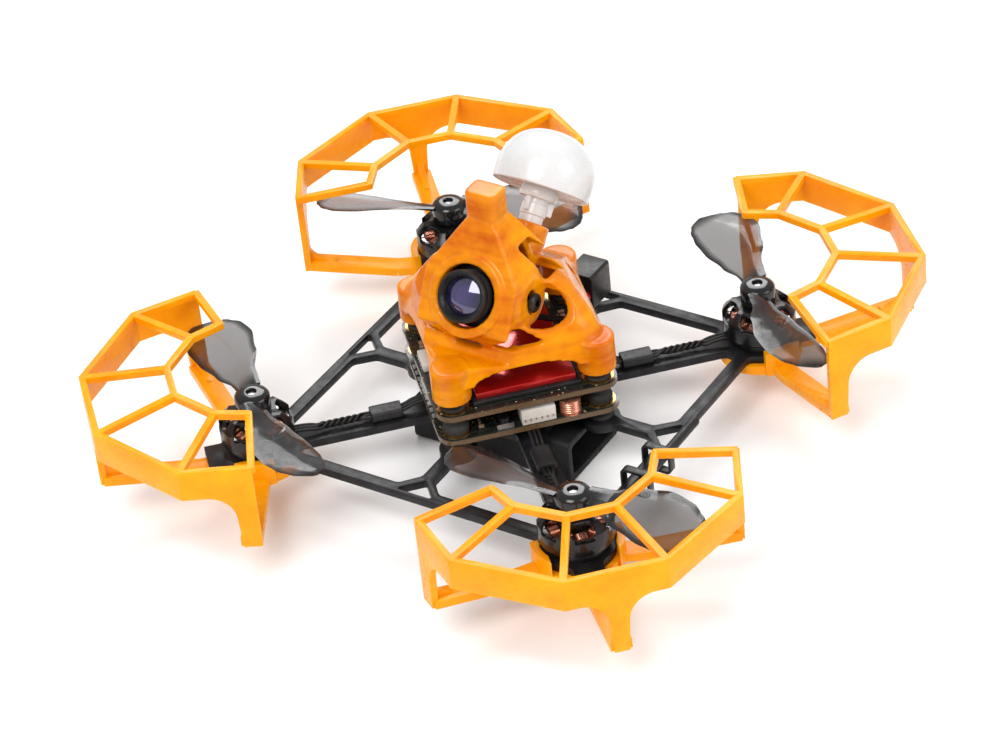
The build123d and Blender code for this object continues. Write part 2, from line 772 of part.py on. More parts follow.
def housing(shrink):
    """Camera housing: its side view cut by its tapering front view."""
    with BuildPart() as body:
        with BuildSketch(Plane.YZ):
            low = plate_top + 15.0 - 1.25 * shrink
            Polygon((-10.0 + shrink, low), (-13.3 + shrink, plate_top + 21.6),
                    (-7.6 + shrink, plate_top + 31.6), (-4.6 + shrink, taper_end - shrink),
                    (0.9 - shrink, taper_end - shrink), (3.6 - shrink, taper_start),
                    (5.2 - shrink, plate_top + 23), (5.2 - shrink, low), align=None)
        extrude(amount=2 * housing_half_width, both=True)
        half = housing_half_width - shrink
        tip = fin_half_width + 0.2 - shrink
        with BuildSketch(Plane.XZ):
            low = plate_top + 10
            Polygon((-half, low), (half, low), (half, taper_start - shrink / 2),
                    (tip, taper_end - shrink), (-tip, taper_end - shrink), (-half, taper_start - shrink / 2),
                    align=None)
        extrude(amount=housing_half_width * 3, both=True, mode=Mode.INTERSECT)
    return body.part


# Camera axes: Z along the lens, X to the drone's left, origin at the pivot
lens_plane = Plane(origin=(0, camera_pivot_y, camera_pivot_z), x_dir=(1, 0, 0),
                   z_dir=(0, -cos(radians(camera_tilt)), sin(radians(camera_tilt))))
lens_centre = (0, -lens_drop)
boss_radius = 7.2
boss_front = 6.4
lens_opening = 5.5
slot_half_width = 1.15
ear_radius = 4.4
ear_stand = 0.5            # of the ears round the camera's screws, beyond the housing
nose_slot_depth = 7.0
slot_length = 4.5
side_window_inner = 4.6
antenna_tilt = 45.0
antenna_tube_radius = 3.6
antenna_stem_radius = 2.1
antenna_rim = (0, 14.7, plate_top + 32.7)
antenna_tube_end = 5.9      # below the cap's rim, along the antenna's axis
antenna_tube_start = 17.0
antenna_plane = Plane(origin=antenna_rim, x_dir=(1, 0, 0),
                      z_dir=(0, sin(radians(antenna_tilt)), cos(radians(antenna_tilt))))

outer_dome = dome(0, 0, 0)
inner_dome = dome(canopy_wall, 1.0, canopy_wall)
outer_housing = housing(0)
inner_housing = housing(canopy_wall)
with BuildPart() as canopy:
    add(outer_dome)
    add(outer_housing)
    with BuildSketch(lens_plane):
        with Locations(lens_centre):
            Circle(boss_radius)
    extrude(amount=boss_front)
    with BuildSketch(Plane.XY.offset(taper_end - 0.5)):
        with Locations((0, -1.75)):
            RectangleRounded(2 * fin_half_width, 4.6, 0.8)
    extrude(amount=fin_top - taper_end + 0.5)
    with BuildSketch(antenna_plane.offset(-antenna_tube_start)):
        Circle(antenna_tube_radius)
    extrude(amount=antenna_tube_start - antenna_tube_end)
    add(inner_dome, mode=Mode.SUBTRACT)
    add(inner_housing, mode=Mode.SUBTRACT)
    with BuildSketch(lens_plane.offset(-1.0)):
        with Locations(lens_centre):
            Circle(lens_opening)
    extrude(amount=boss_front + 2, mode=Mode.SUBTRACT)
    with BuildSketch(antenna_plane.offset(-antenna_tube_start)):
        Circle(antenna_stem_radius + fit_gap)
    extrude(amount=antenna_tube_start, mode=Mode.SUBTRACT)
    for side in (1, -1):
        with BuildSketch(Plane.YZ.offset(side * (housing_half_width - canopy_wall))):
            with Locations((camera_pivot_y, camera_pivot_z)):
                Circle(ear_radius)
        extrude(amount=side * (canopy_wall + ear_stand))
        with BuildSketch(Plane.YZ.offset(side * (housing_half_width + ear_stand))):
            with Locations((camera_pivot_y, camera_pivot_z)):
                Circle(ear_radius)
        extrude(amount=side * foot_radius * 2, mode=Mode.SUBTRACT)
    with BuildSketch(Plane.YZ):
        with Locations((camera_pivot_y, camera_pivot_z)):
            SlotOverall(slot_length, 2 * slot_half_width, rotation=90)
    extrude(amount=2 * housing_half_width, both=True, mode=Mode.SUBTRACT)
    for side in (1, -1):
        with BuildSketch(Plane.YZ.offset(side * side_window_inner)):
            Polygon((-2.8, plate_top + 33.4), (0.9, plate_top + 33.4), (4.6, plate_top + 28.6),
                    (5.6, plate_top + 24.6), (0.9, plate_top + 24.2), (-0.9, plate_top + 27.8), align=None)
        extrude(amount=side * (housing_half_width + ear_stand - side_window_inner), mode=Mode.SUBTRACT)
    for angle in corner_names.values():
        outward = Vector(cos(radians(angle)), sin(radians(angle)), 0)
        across = Vector(-outward.Y, outward.X, 0)
        with BuildSketch(Plane(origin=outward * 8, x_dir=across, z_dir=outward)):
            lean = 1 if angle in (45, 225) else -1
            Polygon((lean * 5.0, plate_top + 18.2), (lean * 1.9, plate_top + 22.8),
                    (-lean * 4.5, plate_top + 18.3), align=None)
        extrude(amount=2 * board_side, mode=Mode.SUBTRACT)
        with BuildSketch(Plane(origin=outward * 8, x_dir=across, z_dir=outward)):
            with Locations((0, skirt_bottom)):
                Ellipse(skirt_arch_half_width, skirt_arch_height)
        extrude(amount=2 * board_side, mode=Mode.SUBTRACT)
    with BuildSketch(Plane.XZ.offset(nose_slot_depth)):
        with Locations((0, plate_top + 17.7)):
            SlotOverall(5.4, 1.2)
    extrude(amount=3 * foot_radius, mode=Mode.SUBTRACT)
    with BuildSketch(Plane.XY.offset(foot_bottom)):
        with PolarLocations(stack_radius, 4):
            Circle(foot_radius)
    extrude(amount=foot_height)
    with BuildSketch(Plane.XY.offset(foot_bottom)):
        with PolarLocations(stack_radius, 4):
            Circle(stack_screw_radius + fit_gap / 2)
    extrude(amount=screw_reach + 0.4, mode=Mode.SUBTRACT)
write(canopy, "canopy")
print("canopy solids", len(canopy.part.solids()))

# ---------------------------------------------------------------- camera
camera_half_width = 6.3
camera_height = 11.0
camera_front = 2.5          # of the body, ahead of the pivot
camera_back = -4.5
barrel_radius = 4.6
barrel_front = 8.0
glass_radius = 3.4
glass_depth = 2.0
camera_screw_radius = 0.9
camera_screw_head = 1.7
with BuildPart() as camera_body:
    with BuildSketch(lens_plane.offset(camera_back)):
        with Locations(lens_centre):
            RectangleRounded(2 * camera_half_width, camera_height, 2.0)
    extrude(amount=camera_front - camera_back)
    with BuildSketch(Plane.YZ.offset(-2 * camera_half_width)):
        with Locations((camera_pivot_y, camera_pivot_z)):
            Circle(camera_screw_radius)
    extrude(amount=4 * camera_half_width, mode=Mode.SUBTRACT)
write(camera_body, "camera_body")

with BuildPart() as lens_barrel:
    with BuildSketch(lens_plane.offset(camera_front)):
        with Locations(lens_centre):
            Circle(barrel_radius - 0.6)
    extrude(amount=barrel_front - camera_front)
    with BuildSketch(lens_plane.offset(barrel_front - 2.6)):
        with Locations(lens_centre):
            Circle(barrel_radius)
    extrude(amount=2.6)
    with BuildSketch(lens_plane.offset(barrel_front)):
        with Locations(lens_centre):
            Circle(glass_radius)
    extrude(amount=-glass_depth, mode=Mode.SUBTRACT)
write(lens_barrel, "lens_barrel")

with BuildPart() as lens_glass:
    with BuildSketch(lens_plane.offset(barrel_front - glass_depth)):
        with Locations(lens_centre):
            Circle(glass_radius)
    extrude(amount=glass_depth - 0.3)
write(lens_glass, "lens_glass")

with BuildPart() as camera_screws:
    for side in (1, -1):
        with BuildSketch(Plane.YZ.offset(side * (camera_half_width - 2.0))):
            with Locations((camera_pivot_y, camera_pivot_z)):
                Circle(camera_screw_radius)
        extrude(amount=side * (housing_half_width - camera_half_width + 2.0 + ear_stand + 0.2))
        with BuildSketch(Plane.YZ.offset(side * (housing_half_width + ear_stand + fit_gap))):
            with Locations((camera_pivot_y, camera_pivot_z)):
                Circle(camera_screw_head)
        extrude(amount=side * 0.9)
write(camera_screws, "camera_screws")

# ---------------------------------------------------------------- video antenna
cap_radius = 8.7
cap_height = 10.6
cap_rim = 3.0
stem_bottom = -14.0
with BuildPart() as antenna_cap:
    with BuildSketch(Plane.XZ):
        with BuildLine():
            Polyline((0, 0), (cap_radius, 0), (cap_radius, cap_rim))
            Spline((cap_radius, cap_rim), (0, cap_height), tangents=((0, 1), (-1, 0)))
            Line((0, cap_height), (0, 0))
        make_face()
    revolve(axis=Axis.Z)
with BuildPart() as placed_cap:
    with Locations(antenna_plane.location):
        add(antenna_cap.part)
write(placed_cap, "antenna_cap")

with BuildPart() as antenna_stem:
    with BuildSketch(antenna_plane.offset(stem_bottom)):
        Circle(antenna_stem_radius)
    extrude(amount=-stem_bottom)
    with BuildSketch(antenna_plane.offset(-1.6)):
        Circle(antenna_stem_radius + 1.3)
    extrude(amount=1.6)
write(antenna_stem, "antenna_stem")

coax_radius = 0.6
stem_end = antenna_plane.offset(stem_bottom).origin
below = antenna_plane.offset(stem_bottom - 4.2).origin
cord("antenna_coax", [[
    (stem_end.X, stem_end.Y, stem_end.Z),
    (below.X, below.Y, below.Z),
    (1.0, below.Y + 0.1, below.Z - 3.6),
    (4.2, below.Y + 2.8, below.Z - 6.2),
    (8.2, 7.8, vtx_top + 3.6),
    (9.2, 9.2, vtx_top + 1.4),
]], coax_radius)
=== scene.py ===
"""Finishes and fine shapes of a two-inch racing quadcopter, in metres, nose along -Y."""

import logging
import math
from dataclasses import dataclass
from enum import Enum
from typing import Iterable, Optional, Sequence, Union

import bmesh
import bpy
from mathutils import Euler, Matrix, Vector


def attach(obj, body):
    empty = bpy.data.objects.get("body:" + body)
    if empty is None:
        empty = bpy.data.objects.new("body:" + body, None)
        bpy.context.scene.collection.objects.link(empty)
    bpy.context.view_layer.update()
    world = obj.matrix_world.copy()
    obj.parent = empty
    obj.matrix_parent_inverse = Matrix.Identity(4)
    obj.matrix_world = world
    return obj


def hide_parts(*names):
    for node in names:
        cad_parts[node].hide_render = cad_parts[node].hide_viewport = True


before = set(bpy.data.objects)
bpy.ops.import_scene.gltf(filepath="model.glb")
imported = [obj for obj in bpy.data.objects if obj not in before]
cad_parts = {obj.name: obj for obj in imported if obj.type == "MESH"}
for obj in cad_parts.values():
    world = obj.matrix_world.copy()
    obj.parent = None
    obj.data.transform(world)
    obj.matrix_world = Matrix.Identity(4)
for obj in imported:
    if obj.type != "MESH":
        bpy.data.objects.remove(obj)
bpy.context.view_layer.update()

log = logging.getLogger("quadcopter")
MM = 0.001
MOTOR_PITCH = 64.0  # side of the square of motor axes, in millimetres
STACK_REACH = 25.5 / math.sqrt(2)  # from the middle to a stack screw, in millimetres
Triple = tuple[float, float, float]
Colour = Triple
Socket = bpy.types.NodeSocket
Value = Union[Socket, float, tuple]


class Corner(Enum):
    """The four motors: name, angle of the arm, angle of the parked propeller, sense of turning."""

    REAR_LEFT = ("rear_left", 45.0, -36.0, -1)
    REAR_RIGHT = ("rear_right", 135.0, 13.0, 1)
    FRONT_RIGHT = ("front_right", 225.0, -29.0, -1)
    FRONT_LEFT = ("front_left", 315.0, -9.0, 1)

    @property
    def label(self) -> str:
        """Name that the corner's pieces end with."""
        return self.value[0]

    @property
    def arm_angle(self) -> float:
        """Angle of the arm, in radians."""
        return math.radians(self.value[1])

    @property
    def parked(self) -> float:
        """Angle of the parked propeller, in radians."""
        return math.radians(self.value[2])

    @property
    def sense(self) -> int:
        """Sense of turning: 1 or -1."""
        return self.value[3]

    def place(self) -> Matrix:
        """Find the motor's place on the frame.

        Returns:
            Matrix that moves a piece made at the origin to this motor, +X outwards.
        """
        reach = MOTOR_PITCH * MM / math.sqrt(2)
        x, y = reach * math.cos(self.arm_angle), reach * math.sin(self.arm_angle)
        return Matrix.Translation((x, y, 0)) @ Matrix.Rotation(self.arm_angle, 4, "Z")

    def axis_place(self) -> Matrix:
        """Matrix that moves a piece to this motor's axis without turning it."""
        return Matrix.Translation(self.place().to_translation())


class Mask(Enum):
    """Axes along which a pattern is read."""

    ALONG_X = "x"
    ALONG_Y = "y"
    ALONG_Z = "z"


# ------------------------------------------------------------------ shader helper
class Shader:
    """A material under construction: adds nodes and links them by name."""

    def __init__(self, name: str) -> None:
        """Start an empty material with one Principled shader.

        Args:
            name: the material's name.
        """
        self.material = bpy.data.materials.new(name)
        self.material.use_nodes = True
        self.tree = self.material.node_tree
        self.tree.nodes.clear()
        self.output = self.tree.nodes.new("ShaderNodeOutputMaterial")
        self.surface = self.tree.nodes.new("ShaderNodeBsdfPrincipled")
        self.tree.links.new(self.surface.outputs[0], self.output.inputs[0])
        self.position = self.tree.nodes.new("ShaderNodeTexCoord").outputs["Object"]

    def put(self, socket: Socket, value: Value) -> None:
        """Link a socket into an input, or set a plain value on it.

        Args:
            socket: the input socket.
            value: an output socket, a number or a tuple.
        """
        if isinstance(value, bpy.types.NodeSocket):
            self.tree.links.new(value, socket)
        elif isinstance(value, (tuple, list)) and socket.type == "RGBA" and len(value) == 3:
            socket.default_value = (*value, 1.0)
        else:
            socket.default_value = value

    def maths(self, operation: str, first: Value, second: Value = 0.0, clamp: bool = False) -> Socket:
        """Math node.

        Args:
            operation: the operation's identifier.
            first: first operand.
            second: second operand.
            clamp: keep the result between 0 and 1.

        Returns:
            The node's output socket.
        """
        node = self.tree.nodes.new("ShaderNodeMath")
        node.operation = operation
        node.use_clamp = clamp
        self.put(node.inputs[0], first)
        self.put(node.inputs[1], second)
        return node.outputs[0]

    def axis(self, which: Mask) -> Socket:
        """One coordinate of the position, in metres.

        Args:
            which: the coordinate's axis.

        Returns:
            The coordinate's socket.
        """
        node = self.tree.nodes.new("ShaderNodeSeparateXYZ")
        self.put(node.inputs[0], self.position)
        return node.outputs["XYZ".index(which.value.upper())]

    def noise(self, scale: float, detail: float = 3.0, stretch: Optional[Triple] = None,
              rough: float = 0.5) -> Socket:
        """Noise over the position, with its scale per metre.

        Args:
            scale: features per metre.
            detail: octaves.
            stretch: scale of each axis before the noise, or None.
            rough: weight of the finer octaves.

        Returns:
            The noise's value socket.
        """
        vector = self.position
        if stretch is not None:
            mapping = self.tree.nodes.new("ShaderNodeMapping")
            self.put(mapping.inputs["Vector"], self.position)
            self.put(mapping.inputs["Scale"], stretch)
            vector = mapping.outputs[0]
        node = self.tree.nodes.new("ShaderNodeTexNoise")
        self.put(node.inputs["Vector"], vector)
        self.put(node.inputs["Scale"], scale)
        self.put(node.inputs["Detail"], detail)
        self.put(node.inputs["Roughness"], rough)
        return node.outputs[0]

    def cells(self, scale: float) -> Socket:
        """Voronoi distance over the position.

        Args:
            scale: cells per metre.

        Returns:
            The distance socket.
        """
        node = self.tree.nodes.new("ShaderNodeTexVoronoi")
        self.put(node.inputs["Vector"], self.position)
        self.put(node.inputs["Scale"], scale)
        return node.outputs["Distance"]

    def attribute(self, name: str) -> Socket:
        """Value of a mesh attribute.

        Args:
            name: the attribute's name.

        Returns:
            The value's socket.
        """
        node = self.tree.nodes.new("ShaderNodeAttribute")
        node.attribute_name = name
        return node.outputs["Fac"]

    def spread(self, value: Value, low: float, high: float, start: float = 0.0, end: float = 1.0) -> Socket:
        """Map a range onto another, clamped.

        Args:
            value: the value's socket.
            low: where the input range starts.
            high: where the input range ends.
            start: result at low.
            end: result at high.

        Returns:
            The mapped value's socket.
        """
        node = self.tree.nodes.new("ShaderNodeMapRange")
        self.put(node.inputs["Value"], value)
        for name, number in (("From Min", low), ("From Max", high), ("To Min", start), ("To Max", end)):
            self.put(node.inputs[name], number)
        return node.outputs[0]

    def blend(self, factor: Value, first: Value, second: Value) -> Socket:
        """Mix two colours.

        Args:
            factor: share of the second colour.
            first: colour or socket.
            second: colour or socket.

        Returns:
            The mixed colour's socket.
        """
        node = self.tree.nodes.new("ShaderNodeMix")
        node.data_type = "RGBA"
        self.put(node.inputs[0], factor)
        self.put(node.inputs[6], first)
        self.put(node.inputs[7], second)
        return node.outputs[2]

    def bump(self, height: Value, depth: float, strength: float, below: Optional[Socket] = None) -> Socket:
        """Raise the surface by a height pattern.

        Args:
            height: pattern from 0 to 1.
            depth: height in metres of a full step.
            strength: share of the effect.
            below: normal from a coarser bump, or None.

        Returns:
            The normal's socket.
        """
        node = self.tree.nodes.new("ShaderNodeBump")
        self.put(node.inputs["Height"], height)
        self.put(node.inputs["Distance"], depth)
        self.put(node.inputs["Strength"], strength)
        if below is not None:
            self.put(node.inputs["Normal"], below)
        return node.outputs[0]

    def set(self, **values: Value) -> None:
        """Set inputs of the Principled shader.

        Args:
            values: sockets or plain values by input name, with underscores for spaces.
        """
        for name, value in values.items():
            self.put(self.surface.inputs[name.replace("_", " ")], value)


# ------------------------------------------------------------------ finishes
@dataclass(frozen=True)
class PrintedFlex:
    """Glowing flexible plastic laid down in layers."""

    name: str
    light: Colour
    deep: Colour
    glow: float
    streaks: float
    layer: float = 0.28 * MM
    roughness: float = 0.3
    waves: float = 0.25
    shine: float = 0.08

    def build(self) -> bpy.types.Material:
        """Make the material.

        Returns:
            The new material.
        """
        s = Shader(self.name)
        height = s.axis(Mask.ALONG_Z)
        wobble = s.maths("MULTIPLY", s.noise(60.0, 1.0), self.layer * 0.4)
        phase = s.maths("MULTIPLY", s.maths("ADD", height, wobble), 2 * math.pi / self.layer)
        lines = s.maths("MULTIPLY", s.maths("ADD", s.maths("SINE", phase), 1.0), 0.5)
        cloud = s.spread(s.noise(110.0, 4.0, rough=0.6), 0.36, 0.66)
        strand = s.spread(s.noise(260.0, 2.0, (0.5, 0.5, 3.0)), 0.3, 0.8)
        tone = s.maths("ADD", s.maths("MULTIPLY", cloud, 1.0 - self.streaks),
                       s.maths("MULTIPLY", strand, self.streaks), True)
        s.set(Base_Color=s.blend(tone, self.light, self.deep))
        s.set(Roughness=s.spread(s.noise(900.0, 3.0), 0.3, 0.7, self.roughness - 0.07, self.roughness + 0.12))
        s.set(Subsurface_Weight=self.glow, Subsurface_Radius=(1.0, 0.35, 0.02), Subsurface_Scale=1.6 * MM)
        s.set(IOR=1.42, Coat_Weight=self.shine, Coat_Roughness=0.12, Specular_IOR_Level=0.2)
        coarse = s.bump(s.noise(150.0, 2.0), 0.10 * MM, self.waves)
        s.set(Normal=s.bump(lines, 0.012 * MM, 0.4, coarse))
        return s.material


@dataclass(frozen=True)
class WovenCarbon:
    """Twill carbon sheet under satin resin, with its plies showing at the edges."""

    name: str
    tow: float = 1.6 * MM

    def build(self) -> bpy.types.Material:
        """Make the material.

        Returns:
            The new material.
        """
        s = Shader(self.name)
        x = s.maths("DIVIDE", s.axis(Mask.ALONG_X), self.tow)
        y = s.maths("DIVIDE", s.axis(Mask.ALONG_Y), self.tow)
        step = s.maths("ADD", s.maths("FLOOR", x), s.maths("FLOOR", y))
        over = s.maths("GREATER_THAN", s.maths("FLOORED_MODULO", step, 4.0), 1.5)
        across = s.maths("PINGPONG", x, 0.5)
        along = s.maths("PINGPONG", y, 0.5)
        crown = s.maths("ADD", s.maths("MULTIPLY", over, across),
                        s.maths("MULTIPLY", s.maths("SUBTRACT", 1.0, over), along))
        fibre = s.noise(2600.0, 2.0)
        tint = s.maths("ADD", s.maths("MULTIPLY", over, 0.4), s.maths("MULTIPLY", fibre, 0.5), True)
        plies = s.maths("PINGPONG", s.maths("DIVIDE", s.axis(Mask.ALONG_Z), 0.25 * MM), 1.0)
        weave = s.blend(tint, (0.005, 0.005, 0.006), (0.018, 0.019, 0.022))
        dust = s.spread(s.noise(95.0, 5.0, rough=0.65), 0.55, 0.8, 0.0, 0.25)
        s.set(Base_Color=s.blend(dust, weave, (0.035, 0.035, 0.037)))
        s.set(Roughness=s.spread(s.noise(500.0, 4.0), 0.3, 0.7, 0.30, 0.5))
        s.set(Coat_Weight=0.08, Coat_Roughness=0.22, Specular_IOR_Level=0.22)
        first = s.bump(crown, 0.05 * MM, 0.35)
        s.set(Normal=s.bump(plies, 0.012 * MM, 0.3, first))
        return s.material


@dataclass(frozen=True)
class Plain:
    """Moulded or coated surface with fine grain, soft blotches and handling marks."""

    name: str
    colour: Colour
    worn: Colour
    roughness: float = 0.4
    metal: float = 0.0
    coat: float = 0.0
    grain: float = 1500.0
    grain_depth: float = 0.01 * MM
    scratch: float = 0.0
    gleam: float = 0.4

    def build(self) -> bpy.types.Material:
        """Make the material.

        Returns:
            The new material.
        """
        s = Shader(self.name)
        blotch = s.spread(s.noise(self.grain * 0.12, 5.0, rough=0.62), 0.45, 0.75, 0.0, 0.8)
        s.set(Base_Color=s.blend(blotch, self.colour, self.worn))
        fine = s.noise(self.grain, 3.0)
        streak = s.noise(self.grain * 0.4, 2.0, (0.08, 1.0, 1.0))
        mixed = s.maths("ADD", s.maths("MULTIPLY", fine, 1.0 - self.scratch),
                        s.maths("MULTIPLY", streak, self.scratch))
        low, high = max(0.03, self.roughness - 0.08), min(1.0, self.roughness + 0.1)
        s.set(Roughness=s.spread(mixed, 0.3, 0.7, low, high))
        s.set(Metallic=self.metal, Coat_Weight=self.coat, Coat_Roughness=0.12, Specular_IOR_Level=self.gleam)
        s.set(Normal=s.bump(mixed, self.grain_depth, 0.6))
        return s.material


@dataclass(frozen=True)
class SolderMask:
    """Circuit board: dark solder mask over copper tracks, with bare fibreglass edges."""

    name: str
    mask: Colour
    track: Colour
    edge: Colour
    turn: float = 45.0

    def build(self) -> bpy.types.Material:
        """Make the material.

        Returns:
            The new material.
        """
        s = Shader(self.name)
        mapping = s.tree.nodes.new("ShaderNodeMapping")
        s.put(mapping.inputs["Vector"], s.position)
        s.put(mapping.inputs["Rotation"], (0.0, 0.0, math.radians(-self.turn)))
        brick = s.tree.nodes.new("ShaderNodeTexBrick")
        s.put(brick.inputs["Vector"], mapping.outputs[0])
        s.put(brick.inputs["Scale"], 190.0)
        s.put(brick.inputs["Mortar Size"], 0.03)
        s.put(brick.inputs["Color1"], (*self.mask, 1.0))
        s.put(brick.inputs["Color2"], tuple(0.6 * v for v in self.mask) + (1.0,))
        s.put(brick.inputs["Mortar"], (*self.track, 1.0))
        dots = s.spread(s.cells(850.0), 0.10, 0.14, 1.0, 0.0)
        top = s.blend(dots, brick.outputs[0], (0.62, 0.47, 0.22))
        flat = s.tree.nodes.new("ShaderNodeNewGeometry")
        parts = s.tree.nodes.new("ShaderNodeSeparateXYZ")
        s.put(parts.inputs[0], flat.outputs["Normal"])
        side = s.spread(s.maths("ABSOLUTE", parts.outputs[2]), 0.4, 0.6, 1.0, 0.0)
        glass = s.blend(s.noise(1800.0, 2.0, (1.0, 1.0, 6.0)), self.edge, tuple(1.7 * v for v in self.edge))
        s.set(Base_Color=s.blend(side, top, glass))
        s.set(Roughness=s.spread(s.noise(700.0), 0.3, 0.7, 0.22, 0.42), Coat_Weight=0.3, Coat_Roughness=0.1)
        s.set(Normal=s.bump(brick.outputs[1], 0.02 * MM, 0.5))
        return s.material


@dataclass(frozen=True)
class SmokeBlade:
    """Smoky see-through propeller plastic, with painted shade that makes it darker and more opaque along its
    rim and at its hub.
    """

    name: str

    def build(self) -> bpy.types.Material:
        """Make the material.

        Returns:
            The new material.
        """
        s = Shader(self.name)
        # Painted shade: the rim attribute darkens the blade and makes it more opaque along its edges and over
        # the hub, in place of how light darkens clear plastic there.
        rim = s.attribute("rim")
        flow = s.spread(s.noise(210.0, 4.0, rough=0.6), 0.35, 0.7, 0.0, 1.0)
        body = s.blend(flow, (0.012, 0.012, 0.013), (0.040, 0.038, 0.041))
        s.set(Base_Color=s.blend(rim, body, (0.006, 0.006, 0.007)))
        s.set(Alpha=s.spread(rim, 0.0, 0.7, 0.5, 0.98))
        s.set(Roughness=s.spread(s.noise(800.0), 0.3, 0.7, 0.10, 0.22), Coat_Weight=0.3, Coat_Roughness=0.06,
              Specular_IOR_Level=0.35)
        s.set(Normal=s.bump(s.noise(450.0, 2.0), 0.02 * MM, 0.35))
        return s.material


@dataclass(frozen=True)
class CoatedLens:
    """Front lens with a violet-blue anti-reflection coating over a dark bore; its violet is a painted
    reflection, brightest in the middle and near black at the edge, with painted violet glints in patches.
    """

    name: str

    def build(self) -> bpy.types.Material:
        """Make the material.

        Returns:
            The new material.
        """
        s = Shader(self.name)
        reach = s.attribute("reach")
        # Painted reflection: violet-blue in the middle of the lens, fading to near black towards its edge.
        painted_reflection_middle = s.blend(s.spread(reach, 0.15, 0.55), (0.040, 0.026, 0.085), (0.012, 0.016, 0.065))
        painted_reflection_fade = s.blend(s.spread(reach, 0.5, 0.85), painted_reflection_middle, (0.006, 0.005, 0.014))
        # Painted glints: lighter violet patches from noise.
        painted_glint_patches = s.spread(s.noise(600.0, 3.0), 0.4, 0.8, 0.0, 0.25)
        s.set(Base_Color=s.blend(painted_glint_patches, painted_reflection_fade, (0.10, 0.08, 0.20)))
        s.set(Roughness=s.spread(s.noise(1200.0), 0.3, 0.7, 0.03, 0.09), Coat_Weight=1.0, Coat_Roughness=0.02)
        s.set(Coat_Tint=(0.75, 0.7, 1.0, 1.0), Specular_IOR_Level=0.8, IOR=1.6)
        s.set(Normal=s.bump(s.noise(2200.0, 2.0), 0.002 * MM, 0.2))
        return s.material


@dataclass(frozen=True)
class EnamelWire:
    """Enamelled copper wire, a little different from turn to turn."""

    name: str

    def build(self) -> bpy.types.Material:
        """Make the material.

        Returns:
            The new material.
        """
        s = Shader(self.name)
        tone = s.spread(s.noise(1500.0, 3.0), 0.35, 0.65)
        s.set(Base_Color=s.blend(tone, (0.62, 0.20, 0.13), (0.86, 0.42, 0.27)), Metallic=0.85)
        s.set(Roughness=s.spread(s.noise(2500.0), 0.3, 0.7, 0.18, 0.36), Coat_Weight=0.6, Coat_Roughness=0.1)
        s.set(Normal=s.bump(s.noise(5000.0, 2.0), 0.01 * MM, 0.4))
        return s.material


FINISHES = {
    "guard": PrintedFlex("amber_flex", (0.95, 0.39, 0.003), (0.88, 0.28, 0.0), glow=0.3, streaks=0.15),
    "canopy": PrintedFlex("orange_flex", (0.88, 0.33, 0.0), (0.50, 0.06, 0.0), glow=0.15, streaks=0.45,
                          roughness=0.2, waves=0.9, shine=0.18),
    "carbon": WovenCarbon("twill_carbon"),
    "bell": Plain("black_anodised", (0.010, 0.010, 0.011), (0.03, 0.03, 0.032), 0.3, metal=0.6, coat=0.3,
                  scratch=0.4),
    "base": Plain("motor_foot_black", (0.014, 0.014, 0.015), (0.04, 0.04, 0.042), 0.36, metal=0.5,
                  scratch=0.3),
    "steel": Plain("ground_steel", (0.42, 0.42, 0.43), (0.56, 0.55, 0.53), 0.24, metal=1.0, scratch=0.7),
    "magnet": Plain("nickel_magnet", (0.46, 0.45, 0.43), (0.36, 0.35, 0.33), 0.28, metal=1.0),
    "laminate": Plain("stator_lacquer", (0.05, 0.035, 0.03), (0.12, 0.09, 0.08), 0.4, metal=0.4),
    "screw": Plain("blackened_screw", (0.016, 0.016, 0.017), (0.07, 0.07, 0.07), 0.32, metal=0.8,
                   scratch=0.3),
    "silicone": Plain("soft_damper", (0.014, 0.014, 0.014), (0.04, 0.038, 0.036), 0.62, grain=900.0),
    "chip": Plain("chip_epoxy", (0.013, 0.013, 0.014), (0.028, 0.028, 0.03), 0.48, grain=2600.0),
    "nylon": Plain("white_nylon", (0.66, 0.63, 0.58), (0.48, 0.44, 0.38), 0.38, grain=1200.0),
    "housing": Plain("black_moulding", (0.008, 0.008, 0.008), (0.022, 0.022, 0.022), 0.34, coat=0.05,
                     gleam=0.3),
    "tray": Plain("tray_moulding", (0.008, 0.008, 0.009), (0.02, 0.02, 0.021), 0.5, grain=1000.0, gleam=0.2),
    "sleeve": Plain("heat_shrink", (0.008, 0.008, 0.009), (0.022, 0.022, 0.023), 0.5, coat=0.05, grain=1600.0,
                    grain_depth=0.04 * MM),
    "lead": Plain("silicone_lead", (0.008, 0.008, 0.008), (0.024, 0.023, 0.022), 0.42, gleam=0.3),
    "red_lead": Plain("red_silicone_lead", (0.52, 0.008, 0.035), (0.35, 0.006, 0.02), 0.4),
    "shield": Plain("shield_dark", (0.02, 0.02, 0.022), (0.05, 0.05, 0.052), 0.4, metal=0.5),
    "sink": Plain("red_anodised", (0.60, 0.012, 0.012), (0.38, 0.006, 0.006), 0.14, metal=0.6, coat=0.9,
                  scratch=0.6),
    "cap": Plain("antenna_white", (0.66, 0.66, 0.66), (0.56, 0.56, 0.56), 0.28, coat=0.3, grain=500.0),
    "gold": Plain("gold_pad", (0.80, 0.50, 0.16), (0.60, 0.34, 0.10), 0.26, metal=1.0),
    "tin": Plain("solder_tin", (0.55, 0.55, 0.56), (0.36, 0.36, 0.37), 0.3, metal=1.0),
    "ceramic": Plain("tan_ceramic", (0.30, 0.19, 0.11), (0.2, 0.12, 0.07), 0.5, grain=3000.0),
    "board": SolderMask("board_mask", (0.010, 0.013, 0.011), (0.022, 0.028, 0.020), (0.085, 0.050, 0.022)),
    "blade": SmokeBlade("smoke_blade"),
    "lens": CoatedLens("violet_lens"),
    "wire": EnamelWire("enamel_wire"),
}
_made: dict[str, bpy.types.Material] = {}


def finish_of(name: str) -> bpy.types.Material:
    """Material of a finish, made once.

    Args:
        name: key in FINISHES.

    Returns:
        The material.
    """
    if name not in _made:
        _made[name] = FINISHES[name].build()
    return _made[name]


